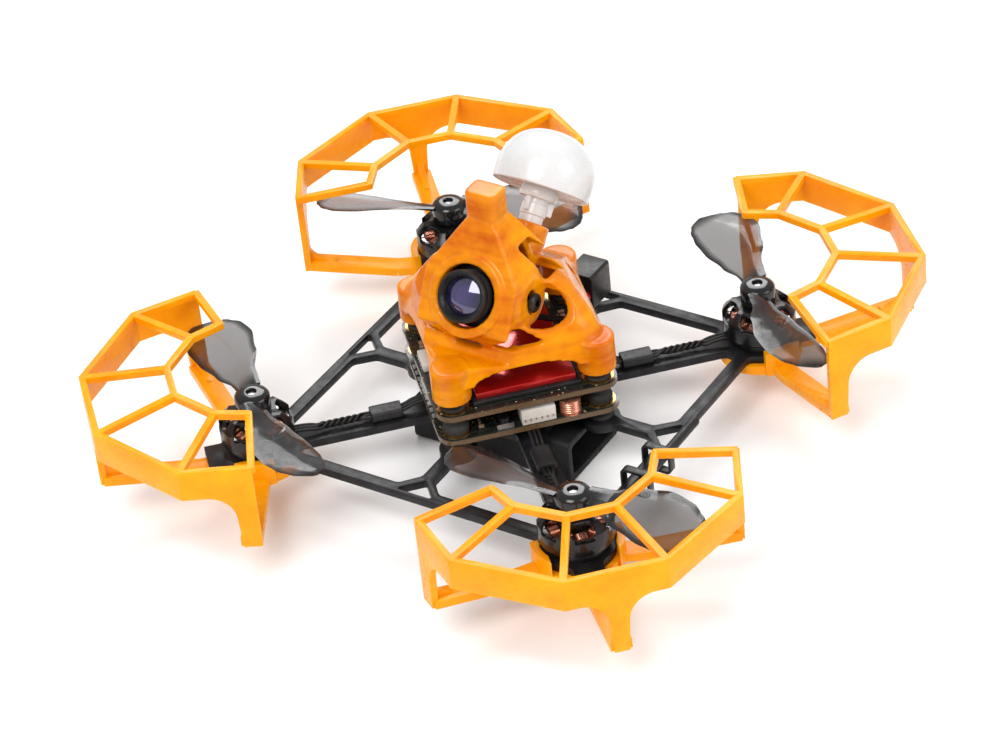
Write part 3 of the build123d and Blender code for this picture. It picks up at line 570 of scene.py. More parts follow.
# ------------------------------------------------------------------ mesh helpers
def to_object(name: str, bm: bmesh.types.BMesh, finishes: Sequence[str], smooth: Optional[float] = 40.0,
              fix_normals: bool = True) -> bpy.types.Object:
    """Turn a bmesh into a scene object at the origin.

    Args:
        name: the object's name.
        bm: the mesh, freed here.
        finishes: finish of each material index.
        smooth: angle in degrees over which edges stay sharp, or None for flat faces.
        fix_normals: merge doubles and point the faces outwards.

    Returns:
        The new object.
    """
    if fix_normals:
        bmesh.ops.remove_doubles(bm, verts=bm.verts, dist=1e-7)
        bmesh.ops.recalc_face_normals(bm, faces=bm.faces)
    mesh = bpy.data.meshes.new(name)
    bm.to_mesh(mesh)
    bm.free()
    piece = bpy.data.objects.new(name, mesh)
    bpy.context.scene.collection.objects.link(piece)
    for finish in finishes:
        mesh.materials.append(finish_of(finish))
    if smooth is not None:
        mesh.shade_smooth()
        mesh.set_sharp_from_angle(angle=math.radians(smooth))
    return piece


def bake_modifiers(piece: bpy.types.Object, smooth: Optional[float] = 40.0) -> bpy.types.Object:
    """Replace a piece's mesh with its evaluated mesh and drop its modifiers.

    Args:
        piece: the object.
        smooth: angle in degrees over which edges stay sharp, or None.

    Returns:
        The same object.
    """
    graph = bpy.context.evaluated_depsgraph_get()
    mesh = bpy.data.meshes.new_from_object(piece.evaluated_get(graph))
    piece.modifiers.clear()
    piece.data = mesh
    if smooth is not None:
        mesh.shade_smooth()
        mesh.set_sharp_from_angle(angle=math.radians(smooth))
    return piece


def copy_of_node(node: str, name: str) -> bpy.types.Object:
    """Merged, planar-cleaned copy of a CAD node.

    Args:
        node: the CAD node's name.
        name: the copy's name.

    Returns:
        The copy, without materials.
    """
    bm = bmesh.new()
    bm.from_mesh(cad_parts[node].data)
    bmesh.ops.remove_doubles(bm, verts=bm.verts, dist=2e-6)
    bmesh.ops.dissolve_limit(bm, angle_limit=math.radians(0.6), verts=bm.verts, edges=bm.edges)
    return to_object(name, bm, (), None, False)


def eased(node: str, name: str, finish: str, width: float = 0.15, segments: int = 2,
          angle: float = 32.0) -> bpy.types.Object:
    """Copy of a CAD node with its edges eased.

    Args:
        node: the CAD node's name.
        name: the copy's name.
        finish: its finish.
        width: width of the eased edge in millimetres.
        segments: segments across the edge.
        angle: least angle of an edge that is eased, in degrees.

    Returns:
        The finished copy.
    """
    piece = copy_of_node(node, name)
    bevel = piece.modifiers.new("ease", "BEVEL")
    bevel.width = width * MM
    bevel.segments = segments
    bevel.limit_method = "ANGLE"
    bevel.angle_limit = math.radians(angle)
    bake_modifiers(piece, 45.0)
    piece.data.materials.clear()
    piece.data.materials.append(finish_of(finish))
    return piece


def printed(node: str, name: str, finish: str, voxel: float, passes: int) -> bpy.types.Object:
    """Copy of a CAD node with the soft edges and corners of a printed piece.

    Args:
        node: the CAD node's name.
        name: the copy's name.
        finish: its finish.
        voxel: voxel size in millimetres.
        passes: smoothing passes.

    Returns:
        The finished copy.
    """
    piece = copy_of_node(node, name)
    remesh = piece.modifiers.new("even", "REMESH")
    remesh.mode = "VOXEL"
    remesh.voxel_size = voxel * MM
    soften = piece.modifiers.new("soften", "SMOOTH")
    soften.factor = 0.5
    soften.iterations = passes
    bake_modifiers(piece, None)
    piece.data.shade_smooth()
    piece.data.materials.clear()
    piece.data.materials.append(finish_of(finish))
    return piece


def lathe(bm: bmesh.types.BMesh, profile: Sequence[tuple[float, float]], steps: int, place: Matrix,
          index: int = 0) -> list[bmesh.types.BMFace]:
    """Turn a profile of (radius, height) in millimetres about Z.

    Args:
        bm: mesh that receives the faces.
        profile: the profile; a radius of 0 closes a pole.
        steps: facets round the axis.
        place: matrix applied to the turned shape.
        index: material index.

    Returns:
        The new faces.
    """
    rings = []
    for radius, height in profile:
        if radius <= 1e-6:
            rings.append([bm.verts.new(place @ Vector((0, 0, height * MM)))])
            continue
        ring = []
        for k in range(steps):
            turn = 2 * math.pi * k / steps
            spot = Vector((radius * math.cos(turn), radius * math.sin(turn), height)) * MM
            ring.append(bm.verts.new(place @ spot))
        rings.append(ring)
    faces = []
    for low, high in zip(rings, rings[1:]):
        for k in range(steps):
            a, b = low[k % len(low)], low[(k + 1) % len(low)]
            c, d = high[(k + 1) % len(high)], high[k % len(high)]
            corners = [v for n, v in enumerate((a, b, c, d)) if v not in (a, b, c, d)[:n]]
            if len(corners) >= 3:
                face = bm.faces.new(corners)
                face.material_index = index
                faces.append(face)
    return faces


def block(bm: bmesh.types.BMesh, size: Triple, centre: Triple, place: Matrix, round_off: float,
          index: int = 0) -> None:
    """Box with eased edges, in millimetres.

    Args:
        bm: mesh that receives the box.
        size: its three sizes.
        centre: its middle.
        place: matrix applied to it.
        round_off: width of its eased edges.
        index: material index.
    """
    matrix = place @ Matrix.Translation(Vector(centre) * MM) @ Matrix.Diagonal((*(v * MM for v in size), 1.0))
    made = bmesh.ops.create_cube(bm, size=1.0, matrix=matrix)
    edges = list({e for v in made["verts"] for e in v.link_edges})
    faces = {f for v in made["verts"] for f in v.link_faces}
    for face in faces:
        face.material_index = index
    result = bmesh.ops.bevel(bm, geom=edges, offset=round_off * MM, segments=2, profile=0.5, affect="EDGES")
    for face in result["faces"]:
        face.material_index = index


def settle(piece: bpy.types.Object, body: str, slot: str, *nodes: str) -> bpy.types.Object:
    """Put a piece on its body and hide the CAD nodes that it stands for.

    Args:
        piece: the finished piece.
        body: CAD body that it moves with.
        slot: the record's material slot; not used.
        nodes: CAD nodes that it replaces.

    Returns:
        The piece.
    """
    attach(piece, body)
    if nodes:
        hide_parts(*nodes)
    log.info("%s on %s, %d faces", piece.name, body, len(piece.data.polygons))
    return piece


def coat_node(node: str, finish: str) -> None:
    """Give a CAD node that stays as it is its finish.

    Args:
        node: the CAD node's name.
        finish: its finish.
    """
    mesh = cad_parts[node].data
    mesh.materials.clear()
    mesh.materials.append(finish_of(finish))


# ------------------------------------------------------------------ geometry nodes
class Tree:
    """A Geometry Nodes tree under construction, with named inputs."""

    def __init__(self, name: str) -> None:
        """Start a tree with a geometry input and output.

        Args:
            name: the tree's name.
        """
        self.group = bpy.data.node_groups.new(name, "GeometryNodeTree")
        self.group.interface.new_socket("Geometry", in_out="INPUT", socket_type="NodeSocketGeometry")
        self.group.interface.new_socket("Geometry", in_out="OUTPUT", socket_type="NodeSocketGeometry")
        self.entry = self.group.nodes.new("NodeGroupInput")
        self.exit = self.group.nodes.new("NodeGroupOutput")
        self.values: dict[str, object] = {}

    def size(self, name: str, kind: str, value: object) -> Socket:
        """Add a named input.

        Args:
            name: the input's name.
            kind: its socket type, such as NodeSocketFloat.
            value: the value it gets on the modifier.

        Returns:
            The socket on the entry node.
        """
        socket = self.group.interface.new_socket(name, in_out="INPUT", socket_type=kind)
        self.values[socket.identifier] = value
        return self.entry.outputs[name]

    def node(self, kind: str, settings: Optional[dict] = None, **inputs: object) -> bpy.types.Node:
        """Add a node and fill its inputs; underscores in names stand for spaces.

        Args:
            kind: the node's type.
            settings: attributes of the node.
            inputs: values or sockets by input name.

        Returns:
            The node.
        """
        node = self.group.nodes.new(kind)
        for key, value in (settings or {}).items():
            setattr(node, key, value)
        for key, value in inputs.items():
            socket = node.inputs[key.replace("_", " ")]
            if isinstance(value, bpy.types.NodeSocket):
                self.group.links.new(value, socket)
            else:
                socket.default_value = value
        return node

    def close(self, geometry: Socket, finish: str) -> None:
        """End the tree in Realize Instances and Set Material.

        Args:
            geometry: the last geometry socket.
            finish: finish of the result.
        """
        real = self.node("GeometryNodeRealizeInstances", Geometry=geometry)
        dressed = self.node("GeometryNodeSetMaterial", Geometry=real.outputs[0], Material=finish_of(finish))
        self.group.links.new(dressed.outputs[0], self.exit.inputs[0])

    def apply(self, name: str, seed_mesh: bpy.types.Mesh, smooth: Optional[float] = 40.0) -> bpy.types.Object:
        """Run the tree on a mesh and keep the result as a plain mesh.

        Args:
            name: name of the resulting object.
            seed_mesh: mesh whose points or faces the tree works on.
            smooth: angle in degrees over which edges stay sharp, or None.

        Returns:
            The object.
        """
        piece = bpy.data.objects.new(name, seed_mesh)
        bpy.context.scene.collection.objects.link(piece)
        modifier = piece.modifiers.new(name, "NODES")
        modifier.node_group = self.group
        for identifier, value in self.values.items():
            modifier[identifier] = value
        return bake_modifiers(piece, smooth)


def points_mesh(name: str, places: Iterable[Vector], turns: Optional[Sequence[float]] = None,
                scales: Optional[Sequence[Triple]] = None) -> bpy.types.Mesh:
    """Mesh of loose points, each with a turn about Z and a scale.

    Args:
        name: the mesh's name.
        places: positions in metres.
        turns: turn of each point in radians.
        scales: scale of each point along three axes.

    Returns:
        The mesh.
    """
    spots = [tuple(p) for p in places]
    mesh = bpy.data.meshes.new(name)
    mesh.from_pydata(spots, [], [])
    turn = mesh.attributes.new("turn", "FLOAT", "POINT")
    scale = mesh.attributes.new("scale", "FLOAT_VECTOR", "POINT")
    for k in range(len(spots)):
        turn.data[k].value = turns[k] if turns else 0.0
        scale.data[k].vector = scales[k] if scales else (1.0, 1.0, 1.0)
    return mesh


def repeat_on_points(name: str, template: bpy.types.Object, seed: bpy.types.Mesh, finish: Optional[str],
                     smooth: Optional[float] = 40.0) -> bpy.types.Object:
    """Copy a template onto points with Geometry Nodes.

    Args:
        name: name of the result.
        template: object that is repeated; removed here.
        seed: mesh from points_mesh.
        finish: finish set on the result, or None to keep the template's own.
        smooth: angle in degrees over which edges stay sharp, or None.

    Returns:
        The object with the copies.
    """
    tree = Tree(f"{name}_repeat")
    shape = tree.size("Shape", "NodeSocketObject", template)
    info = tree.node("GeometryNodeObjectInfo", Object=shape)
    turn = tree.node("GeometryNodeInputNamedAttribute", {"data_type": "FLOAT"}, Name="turn")
    scale = tree.node("GeometryNodeInputNamedAttribute", {"data_type": "FLOAT_VECTOR"}, Name="scale")
    rotation = tree.node("ShaderNodeCombineXYZ", Z=turn.outputs[0])
    copies = tree.node("GeometryNodeInstanceOnPoints", Points=tree.entry.outputs[0],
                       Instance=info.outputs["Geometry"], Rotation=rotation.outputs[0],
                       Scale=scale.outputs[0])
    if finish is not None:
        tree.close(copies.outputs[0], finish)
    else:
        real = tree.node("GeometryNodeRealizeInstances", Geometry=copies.outputs[0])
        tree.group.links.new(real.outputs[0], tree.exit.inputs[0])
    piece = tree.apply(name, seed, smooth)
    mesh = template.data
    bpy.data.objects.remove(template)
    bpy.data.meshes.remove(mesh)
    return piece


def tube(name: str, routes: Sequence[Sequence[Triple]], radius: float, finish: str,
         rings: int = 12) -> bpy.types.Object:
    """Round leads along smooth curves, through points in millimetres.

    Args:
        name: name of the piece.
        routes: one list of points for each lead.
        radius: radius in millimetres.
        finish: finish of the leads.
        rings: facets round a lead.

    Returns:
        The leads as one mesh.
    """
    curve = bpy.data.curves.new(name, "CURVE")
    curve.dimensions = "3D"
    curve.bevel_depth = radius * MM
    curve.bevel_resolution = rings // 4
    curve.use_fill_caps = True
    for route in routes:
        spline = curve.splines.new("NURBS")
        spline.points.add(len(route) - 1)
        for point, place in zip(spline.points, route):
            point.co = (*(v * MM for v in place), 1.0)
        spline.order_u = 3
        spline.use_endpoint_u = True
        spline.resolution_u = 10
    helper = bpy.data.objects.new(f"{name}_curve", curve)
    bpy.context.scene.collection.objects.link(helper)
    graph = bpy.context.evaluated_depsgraph_get()
    mesh = bpy.data.meshes.new_from_object(helper.evaluated_get(graph))
    bpy.data.objects.remove(helper)
    mesh.name = name
    mesh.materials.clear()
    mesh.materials.append(finish_of(finish))
    mesh.shade_smooth()
    piece = bpy.data.objects.new(name, mesh)
    bpy.context.scene.collection.objects.link(piece)
    return piece


# ------------------------------------------------------------------ airframe
@dataclass
class Airframe:
    """Carbon plate, the four printed guards and the battery tray."""

    plate_ease: float = 0.2
    guard_ease: float = 0.3
    tray_ease: float = 0.25

    def build_plate(self) -> None:
        """Ease the plate's milled edges."""
        piece = eased("frame_plate", "carbon_plate", "carbon", self.plate_ease)
        settle(piece, "airframe", "carbon", "frame_plate")

    def build_guards(self) -> None:
        """Give each guard the soft edges of a printed piece."""
        for corner in Corner:
            node = f"guard_{corner.label}"
            piece = eased(node, f"printed_{node}", "guard", self.guard_ease, 3, 25.0)
            settle(piece, "airframe", "tpu_amber", node)

    def build_tray(self) -> None:
        """Ease the tray's edges."""
        piece = eased("battery_tray", "battery_channel", "tray", self.tray_ease, 3)
        settle(piece, "airframe", "black_plastic", "battery_tray")

    def build(self) -> None:
        """Make every piece of the airframe."""
        self.build_plate()
        self.build_guards()
        self.build_tray()


# ------------------------------------------------------------------ motors
@dataclass
class Motor:
    """One motor: foot, stator, coils, bell and magnets."""

    corner: Corner
    slots: int = 9
    turns: int = 7
    coil_inner: float = 3.25
    coil_outer: float = 4.65
    coil_half_width: float = 0.62
    coil_half_height: float = 1.22
    wire: float = 0.14
    middle: float = 13.3

    def build(self) -> None:
        """Ease the bell and foot, and dress what stays as made."""
        label = self.corner.label
        bell = eased(f"bell_{label}", f"motor_bell_{label}", "bell", 0.12, 2, 40.0)
        settle(bell, f"rotor_{label}", "motor_black", f"bell_{label}")
        foot = eased(f"motor_base_{label}", f"motor_foot_{label}", "base", 0.1, 2, 40.0)
        settle(foot, "airframe", "motor_black", f"motor_base_{label}")
        coat_node(f"magnets_{label}", "magnet")
        coat_node(f"stator_{label}", "laminate")
        coat_node(f"shaft_{label}", "steel")

    def coil_points(self) -> list[tuple[Vector, float]]:
        """Work out where every turn of wire goes.

        Returns:
            The place and the angle of each turn.
        """
        spots = []
        pitch = (self.coil_outer - self.coil_inner) / (self.turns - 1)
        for slot in range(self.slots):
            turn = self.corner.arm_angle + 2 * math.pi * slot / self.slots
            centre = self.corner.place().to_translation()
            for n in range(self.turns):
                reach = (self.coil_inner + n * pitch) * MM
                spot = Vector((math.cos(turn) * reach, math.sin(turn) * reach, self.middle * MM))
                spots.append((centre + spot, turn))
        return spots


@dataclass
class Windings:
    """The coils of all four motors, as one piece of enamelled wire."""

    motors: Sequence[Motor]
    sides: int = 6
    layers: int = 2
    clearance: float = 0.1
    corner_radius: float = 0.35
    layer_shrink: float = 0.22
    top_stretch: float = 1.15

    def loop(self) -> bpy.types.Object:
        """Make one turn of wire round a tooth, in the plane across its radius.

        Returns:
            The template object.
        """
        motor = self.motors[0]
        bm = bmesh.new()
        outline = []
        r = self.corner_radius
        w, h = motor.coil_half_width + self.clearance - r, motor.coil_half_height + self.clearance - r
        for cx, cz, start in ((w, h, 0), (-w, h, 90), (-w, -h, 180), (w, -h, 270)):
            for step in range(3):
                turn = math.radians(start + 45 * step)
                outline.append((cx + r * math.cos(turn), cz + r * math.sin(turn)))
        rings = []
        for k, (y, z) in enumerate(outline):
            before, after = outline[k - 1], outline[(k + 1) % len(outline)]
            across = Vector((0, after[1] - before[1], -(after[0] - before[0]))).normalized()
            ring = []
            for side in range(self.sides):
                turn = 2 * math.pi * side / self.sides
                off = across * math.cos(turn) * motor.wire + Vector((1, 0, 0)) * math.sin(turn) * motor.wire
                ring.append(bm.verts.new((Vector((0, y, z)) + off) * MM))
            rings.append(ring)
        for k, ring in enumerate(rings):
            follow = rings[(k + 1) % len(rings)]
            for side in range(self.sides):
                bm.faces.new((ring[side], ring[(side + 1) % self.sides], follow[(side + 1) % self.sides],
                              follow[side]))
        return to_object("wire_turn", bm, ("wire",), 60.0)

    def build(self) -> None:
        """Wind every coil with Geometry Nodes."""
        spots, turns, scales = [], [], []
        for motor in self.motors:
            for place, turn in motor.coil_points():
                for layer in range(self.layers):
                    grow = 1.0 - self.layer_shrink * layer
                    spots.append(place)
                    turns.append(turn)
                    scales.append((1.0, grow * self.top_stretch, grow))
        seed = points_mesh("coil_seed", spots, turns, scales)
        piece = repeat_on_points("coil_windings", self.loop(), seed, "wire", 60.0)
        settle(piece, "airframe", "copper", "windings")


# ------------------------------------------------------------------ propellers
@dataclass
class Propeller:
    """Two-bladed push-on propeller with cambered, twisted blades."""

    corner: Corner
    tip: float = 25.3
    hub_radius: float = 3.1
    low: float = 17.5
    high: float = 21.4
    bore: float = 0.78
    stations: int = 26
    chordwise: int = 9
    level: float = 19.45
    root: float = 1.9
    pitch_line: float = 0.42
    rim_start: float = 0.82

    def chord(self, share: float) -> float:
        """Blade width.

        Args:
            share: share of the blade's length.

        Returns:
            The width in millimetres.
        """
        table = ((0.0, 4.2), (0.12, 5.0), (0.3, 8.8), (0.5, 11.2), (0.66, 11.0), (0.8, 9.2), (0.92, 6.0),
                 (1.0, 1.6))
        for (a, wide), (b, next_wide) in zip(table, table[1:]):
            if share <= b:
                local = (share - a) / (b - a)
                local = local * local * (3 - 2 * local)
                return wide + (next_wide - wide) * local
        return table[-1][1]

    def section(self, share: float) -> tuple[float, float, float, float]:
        """Section of the blade.

        Args:
            share: share of the blade's length.

        Returns:
            Chord, pitch in radians, thickness and forward sweep.
        """
        pitch = math.radians(27.0 - 17.0 * share)
        thick = 1.15 - 0.72 * min(1.0, share * 1.4)
        sweep = 0.7 + 1.1 * math.sin(math.pi * share)
        return self.chord(share), pitch, thick, sweep

    def blade(self, bm: bmesh.types.BMesh, rim: bmesh.types.BMLayerItem, place: Matrix) -> None:
        """Add one blade.

        Args:
            bm: mesh that receives it.
            rim: float layer of painted shade, darker along the blade's edges, tip and root.
            place: matrix of the blade, +X along it.
        """
        rings = []
        for k in range(self.stations):
            share = k / (self.stations - 1)
            along = self.root + (self.tip - self.root) * (1 - (1 - share) ** 1.25)
            chord, pitch, thick, sweep = self.section(share)
            ring = []
            upper = [j / (self.chordwise - 1) for j in range(self.chordwise)]
            lower = list(reversed(upper[1:-1]))
            for side, stops in ((1, upper), (-1, lower)):
                for stop in stops:
                    y = (stop - self.pitch_line) * chord + sweep
                    camber = 0.055 * chord * math.sin(math.pi * stop)
                    half = 0.5 * thick * math.sqrt(math.sin(math.pi * (stop * 0.96 + 0.02)))
                    z = camber + side * half
                    across = y * math.cos(pitch) - z * math.sin(pitch)
                    up = y * math.sin(pitch) + z * math.cos(pitch)
                    vert = bm.verts.new(place @ (Vector((along, across, up)) * MM))
                    # Painted shade: darker towards the leading and trailing edges, the tip and the root.
                    edge = max(abs(stop - 0.5) * 2, share)
                    dark = max(0.0, (edge - self.rim_start) / (1.0 - self.rim_start))
                    vert[rim] = dark * 0.75 + max(0.0, 0.9 - share * 7)
                    ring.append(vert)
            rings.append(ring)
        for ring, follow in zip(rings, rings[1:]):
            for n in range(len(ring)):
                bm.faces.new((ring[n], ring[(n + 1) % len(ring)], follow[(n + 1) % len(ring)], follow[n]))
        for ring in (rings[0], rings[-1]):
            bm.faces.new(ring)

    def hub(self, bm: bmesh.types.BMesh, rim: bmesh.types.BMLayerItem, place: Matrix) -> None:
        """Add the hub, with its collar and bore.

        Args:
            bm: mesh that receives it.
            rim: float layer of painted shade, full over the hub.
            place: matrix of the motor's axis.
        """
        r, low, high = self.hub_radius, self.low, self.high
        profile = ((self.bore, low), (r - 0.3, low), (r, low + 0.3), (r, high - 0.9), (r - 0.25, high - 0.5),
                   (r - 0.9, high - 0.1), (self.bore + 0.7, high), (self.bore + 0.2, high),
                   (self.bore, high - 0.25), (self.bore, low))
        for face in lathe(bm, profile, 48, place):
            for vert in face.verts:
                vert[rim] = 1.0

    def build(self) -> None:
        """Make the propeller and stand it in for the CAD one."""
        bm = bmesh.new()
        rim = bm.verts.layers.float.new("rim")
        turned = self.corner.axis_place() @ Matrix.Rotation(self.corner.parked, 4, "Z")
        mirror = Matrix.Diagonal((1.0, float(self.corner.sense), 1.0, 1.0))
        for side in (0.0, math.pi):
            place = turned @ Matrix.Rotation(side, 4, "Z") @ Matrix.Translation((0, 0, self.level * MM))
            self.blade(bm, rim, place @ mirror)
        self.hub(bm, rim, turned)
        piece = to_object(f"blades_{self.corner.label}", bm, ("blade",), 50.0)
        settle(piece, f"rotor_{self.corner.label}", "prop_smoke", f"prop_{self.corner.label}")


# ------------------------------------------------------------------ fasteners
def stack_spot(k: int, height: float) -> Vector:
    """Place of one of the four stack screws.

    Args:
        k: number of the screw, counted from +X.
        height: height in millimetres.

    Returns:
        The place in metres.
    """
    turn = math.pi / 2 * k
    return Vector((STACK_REACH * math.cos(turn), STACK_REACH * math.sin(turn), height)) * MM


@dataclass
class Fasteners:
    """Socket screws that hold the motors, guards and stack."""

    motor_circle: float = 3.3
    motor_seat: float = 6.7
    stack_seat: float = 8.5

    def screw(self, name: str, head: float, tall: float, shank: float, length: float,
              key: float) -> bpy.types.Object:
        """One screw, head downwards, with its head's seat at Z = 0.

        Args:
            name: name of the template.
            head: head radius.
            tall: head height.
            shank: shank radius.
            length: shank length.
            key: radius of the hexagon socket.

        Returns:
            The template object.
        """
        bm = bmesh.new()
        ease = 0.18
        lathe(bm, ((key, -tall), (head - ease * 1.6, -tall), (head - ease * 0.4, -tall + ease * 0.5),
                   (head, -tall + ease * 1.4), (head, -0.08), (head - 0.08, 0.0), (shank, 0.0),
                   (shank, length - 0.25), (shank - 0.2, length), (0, length)), 24, Matrix())
        lathe(bm, ((0, -tall * 0.35), (key * 0.98, -tall * 0.35), (key, -tall)), 6, Matrix())
        return to_object(name, bm, ("screw",), 35.0)

    def build_motor_screws(self) -> None:
        """Place three screws under every motor with Geometry Nodes."""
        spots, turns = [], []
        for corner in Corner:
            for k in range(3):
                turn = 2 * math.pi * k / 3
                spot = Vector((self.motor_circle * math.cos(turn), self.motor_circle * math.sin(turn),
                               self.motor_seat)) * MM
                spots.append(corner.place() @ spot)
                turns.append(0.4 * k + corner.arm_angle)
        template = self.screw("motor_screw", 1.22, 0.88, 0.66, 4.4, 0.62)
        seed = points_mesh("motor_screw_seed", spots, turns)
        piece = repeat_on_points("motor_socket_screws", template, seed, None)
        settle(piece, "airframe", "screw_black", "motor_screws")

    def build_stack_screws(self) -> None:
        """Place the four long screws of the stack."""
        spots, turns = [], []
        for k in range(4):
            turn = math.pi / 2 * k
            spots.append(stack_spot(k, self.stack_seat))
            turns.append(0.3 + turn * 0.7)
        template = self.screw("stack_screw", 1.8, 1.2, 1.0, 17.1, 0.8)
        seed = points_mesh("stack_screw_seed", spots, turns)
        piece = repeat_on_points("stack_socket_screws", template, seed, None)
        settle(piece, "airframe", "screw_black", "stack_screws")

    def build(self) -> None:
        """Make every group of screws."""
        self.build_motor_screws()
        self.build_stack_screws()


# ------------------------------------------------------------------ electronics
@dataclass
class Stack:
    """Two circuit boards on dampers, with shield, heat sink and what is soldered to them."""

    turn: float = math.radians(45.0)
    plate_top: float = 10.0
    main_low: float = 12.6
    main_top: float = 13.6
    video_low: float = 17.6
    video_top: float = 18.6
    canopy_foot: float = 20.6
    screw_pad: float = 2.75
    pad_bore: float = 1.15
    pad_proud: float = 0.04
    edge_pitch: float = 1.9
    edge_reach: float = 15.15
    pin: float = 0.36
    inductor_turns: int = 6
    inductor_pitch: float = 0.4

    @property
    def axes(self) -> Matrix:
        """Matrix of the boards' own axes."""
        return Matrix.Rotation(self.turn, 4, "Z")

    def build_boards(self) -> None:
        """Dress the boards, and ring their screw holes with gold pads."""
        for node in ("aio_board", "vtx_board"):
            coat_node(node, "board")
        bm = bmesh.new()
        bore, pad = self.pad_bore, self.screw_pad
        for k in range(4):
            place = Matrix.Translation(stack_spot(k, 0.0))
            for top, low in ((self.main_top, self.main_low), (self.video_top, self.video_low)):
                low, top = low - self.pad_proud, top + self.pad_proud
                lathe(bm, ((bore, low), (pad, low), (pad, top), (bore, top), (bore, low)), 36, place)
        settle(to_object("screw_pads", bm, ("gold",), 40.0), "airframe", "gold")

    def build_parts(self) -> None:
        """Scatter small soldered parts on both boards with Geometry Nodes."""
        template = bmesh.new()
        block(template, (1.0, 0.5, 0.4), (0, 0, 0.2), Matrix(), 0.05)
        chip = to_object("chip_part", template, ("ceramic",), 30.0)
        spots, turns, scales = [], [], []
        on_main = ((-8.0, -9.0), (-6.4, -9.0), (-9.5, -6.5), (4.5, 9.4), (6.2, 9.4), (7.9, 9.4), (-3.0, 9.0),
                   (-3.0, 10.6), (10.6, -2.5), (10.6, -4.0), (10.6, 0.4), (12.4, -2.5), (-10.5, 4.8),
                   (-10.5, 6.4), (-10.5, 8.0), (13.4, 5.0), (13.4, 6.5), (4.0, 13.6), (5.6, 13.6),
                   (7.2, 13.6), (1.0, 13.6), (14.2, -6.0), (14.2, -7.6), (-8.5, -13.6), (-8.5, -12.0))
        on_video = ((-11.5, -8.0), (-11.5, -6.4), (-11.5, 7.5), (-11.5, 9.0), (11.4, 7.5), (11.4, 6.0),
                    (11.4, -7.0), (11.4, -8.6), (-14.0, 5.6), (-14.0, 7.0), (14.0, -4.5), (14.0, 4.5))
        rows = ((self.main_top, on_main), (self.video_top, on_video))
        for level, places in rows:
            for n, (along, across) in enumerate(places):
                spots.append(self.axes @ (Vector((along, across, level)) * MM))
                turns.append(self.turn + (math.pi / 2 if n % 3 == 0 else 0.0))
                scales.append((0.8 + 0.5 * ((n * 7) % 5) / 4, 0.8 + 0.6 * ((n * 3) % 4) / 3,
                               0.8 + 0.5 * (n % 3) / 2))
        seed = points_mesh("part_seed", spots, turns, scales)
        piece = repeat_on_points("soldered_parts", chip, seed, None, 30.0)
        settle(piece, "airframe", "chip_black")

    def build_pads(self) -> None:
        """Row the edge pads and their solder along the main board's sides."""
        bm = bmesh.new()
        for side in range(4):
            face = self.axes @ Matrix.Rotation(math.pi / 2 * side, 4, "Z")
            first = 4 if side == 3 else -4  # the front side has one pad only, by the inductor
            for n in range(first, 5):
                wide = 1.1 if abs(n) > 1 else 1.5
                for height in (self.main_top + 0.03, self.main_low - 0.03):
                    centre = (self.edge_reach, n * self.edge_pitch, height)
                    block(bm, (1.3, wide, 0.09), centre, face, 0.02)
        settle(to_object("edge_pads", bm, ("tin",), 30.0), "airframe", "gold")

    def damper(self) -> bpy.types.Object:
        """Make a soft damper of unit height, waisted between two beads.

        Returns:
            The template object.
        """
        bm = bmesh.new()
        profile = ((1.12, 0.0), (2.1, 0.0), (2.28, 0.08), (2.28, 0.26), (2.12, 0.36), (1.72, 0.44),
                   (1.72, 0.56), (2.12, 0.64), (2.28, 0.74), (2.28, 0.92), (2.1, 1.0), (1.12, 1.0),
                   (1.12, 0.0))
        lathe(bm, profile, 32, Matrix())
        return to_object("damper", bm, ("silicone",), 55.0)

    def build_dampers(self) -> None:
        """Stand a damper at each corner between plate, boards and canopy."""
        spots, turns, scales = [], [], []
        for low, high in ((self.plate_top, self.main_low), (self.main_top, self.video_low),
                          (self.video_top, self.canopy_foot)):
            for k in range(4):
                spots.append(stack_spot(k, low))
                turns.append(math.pi / 2 * k)
                scales.append((1.0, 1.0, high - low))
        seed = points_mesh("damper_seed", spots, turns, scales)
        piece = repeat_on_points("soft_dampers", self.damper(), seed, None, 55.0)
        settle(piece, "airframe", "silicone", "board_dampers")

    def build_cooling(self) -> None:
        """Shield and the heat sink over it."""
        settle(eased("vtx_shield", "video_shield", "shield", 0.12), "airframe", "shield_dark", "vtx_shield")
        settle(eased("heat_sink", "red_heat_sink", "sink", 0.18, 3), "airframe", "sink_red", "heat_sink")

    def build_soldered(self) -> None:
        """Connectors, chips and button."""
        bm = bmesh.new()
        main, video = self.main_top, self.video_top
        sockets = ((1.3, -14.0, main, (6.0, 3.6, 3.0)), (-6.0, 14.0, main, (4.0, 3.4, 2.4)),
                   (-13.8, 1.0, video, (3.2, 5.0, 1.4)), (-13.8, -1.0, main, (3.4, 7.0, 2.2)),
                   (13.0, 0.0, video, (3.0, 3.0, 1.4)))
        for along, across, low, size in sockets:
            block(bm, size, (along, across, low + size[2] / 2), self.axes, 0.16)
            facing = -1.0 if across < -5 or along < -5 else 1.0
            flat = abs(across) > 5
            count = int(size[0] if flat else size[1])
            for n in range(count):
                shift = n - (count - 1) / 2
                if flat:
                    centre = (along + shift, across + facing * (size[1] / 2 + 0.02))
                else:
                    centre = (along + facing * (size[0] / 2 + 0.02), across + shift)
                block(bm, (self.pin,) * 3, (*centre, low + size[2] * 0.35), self.axes, 0.05, 1)
        sockets_piece = to_object("white_sockets", bm, ("nylon", "tin"), 35.0)
        settle(sockets_piece, "airframe", "white_nylon", "board_connectors")
        settle(eased("board_chips", "epoxy_chips", "chip", 0.08, 2), "airframe", "chip_black", "board_chips")
        coat_node("button_housing", "steel")
        coat_node("boot_button", "housing")

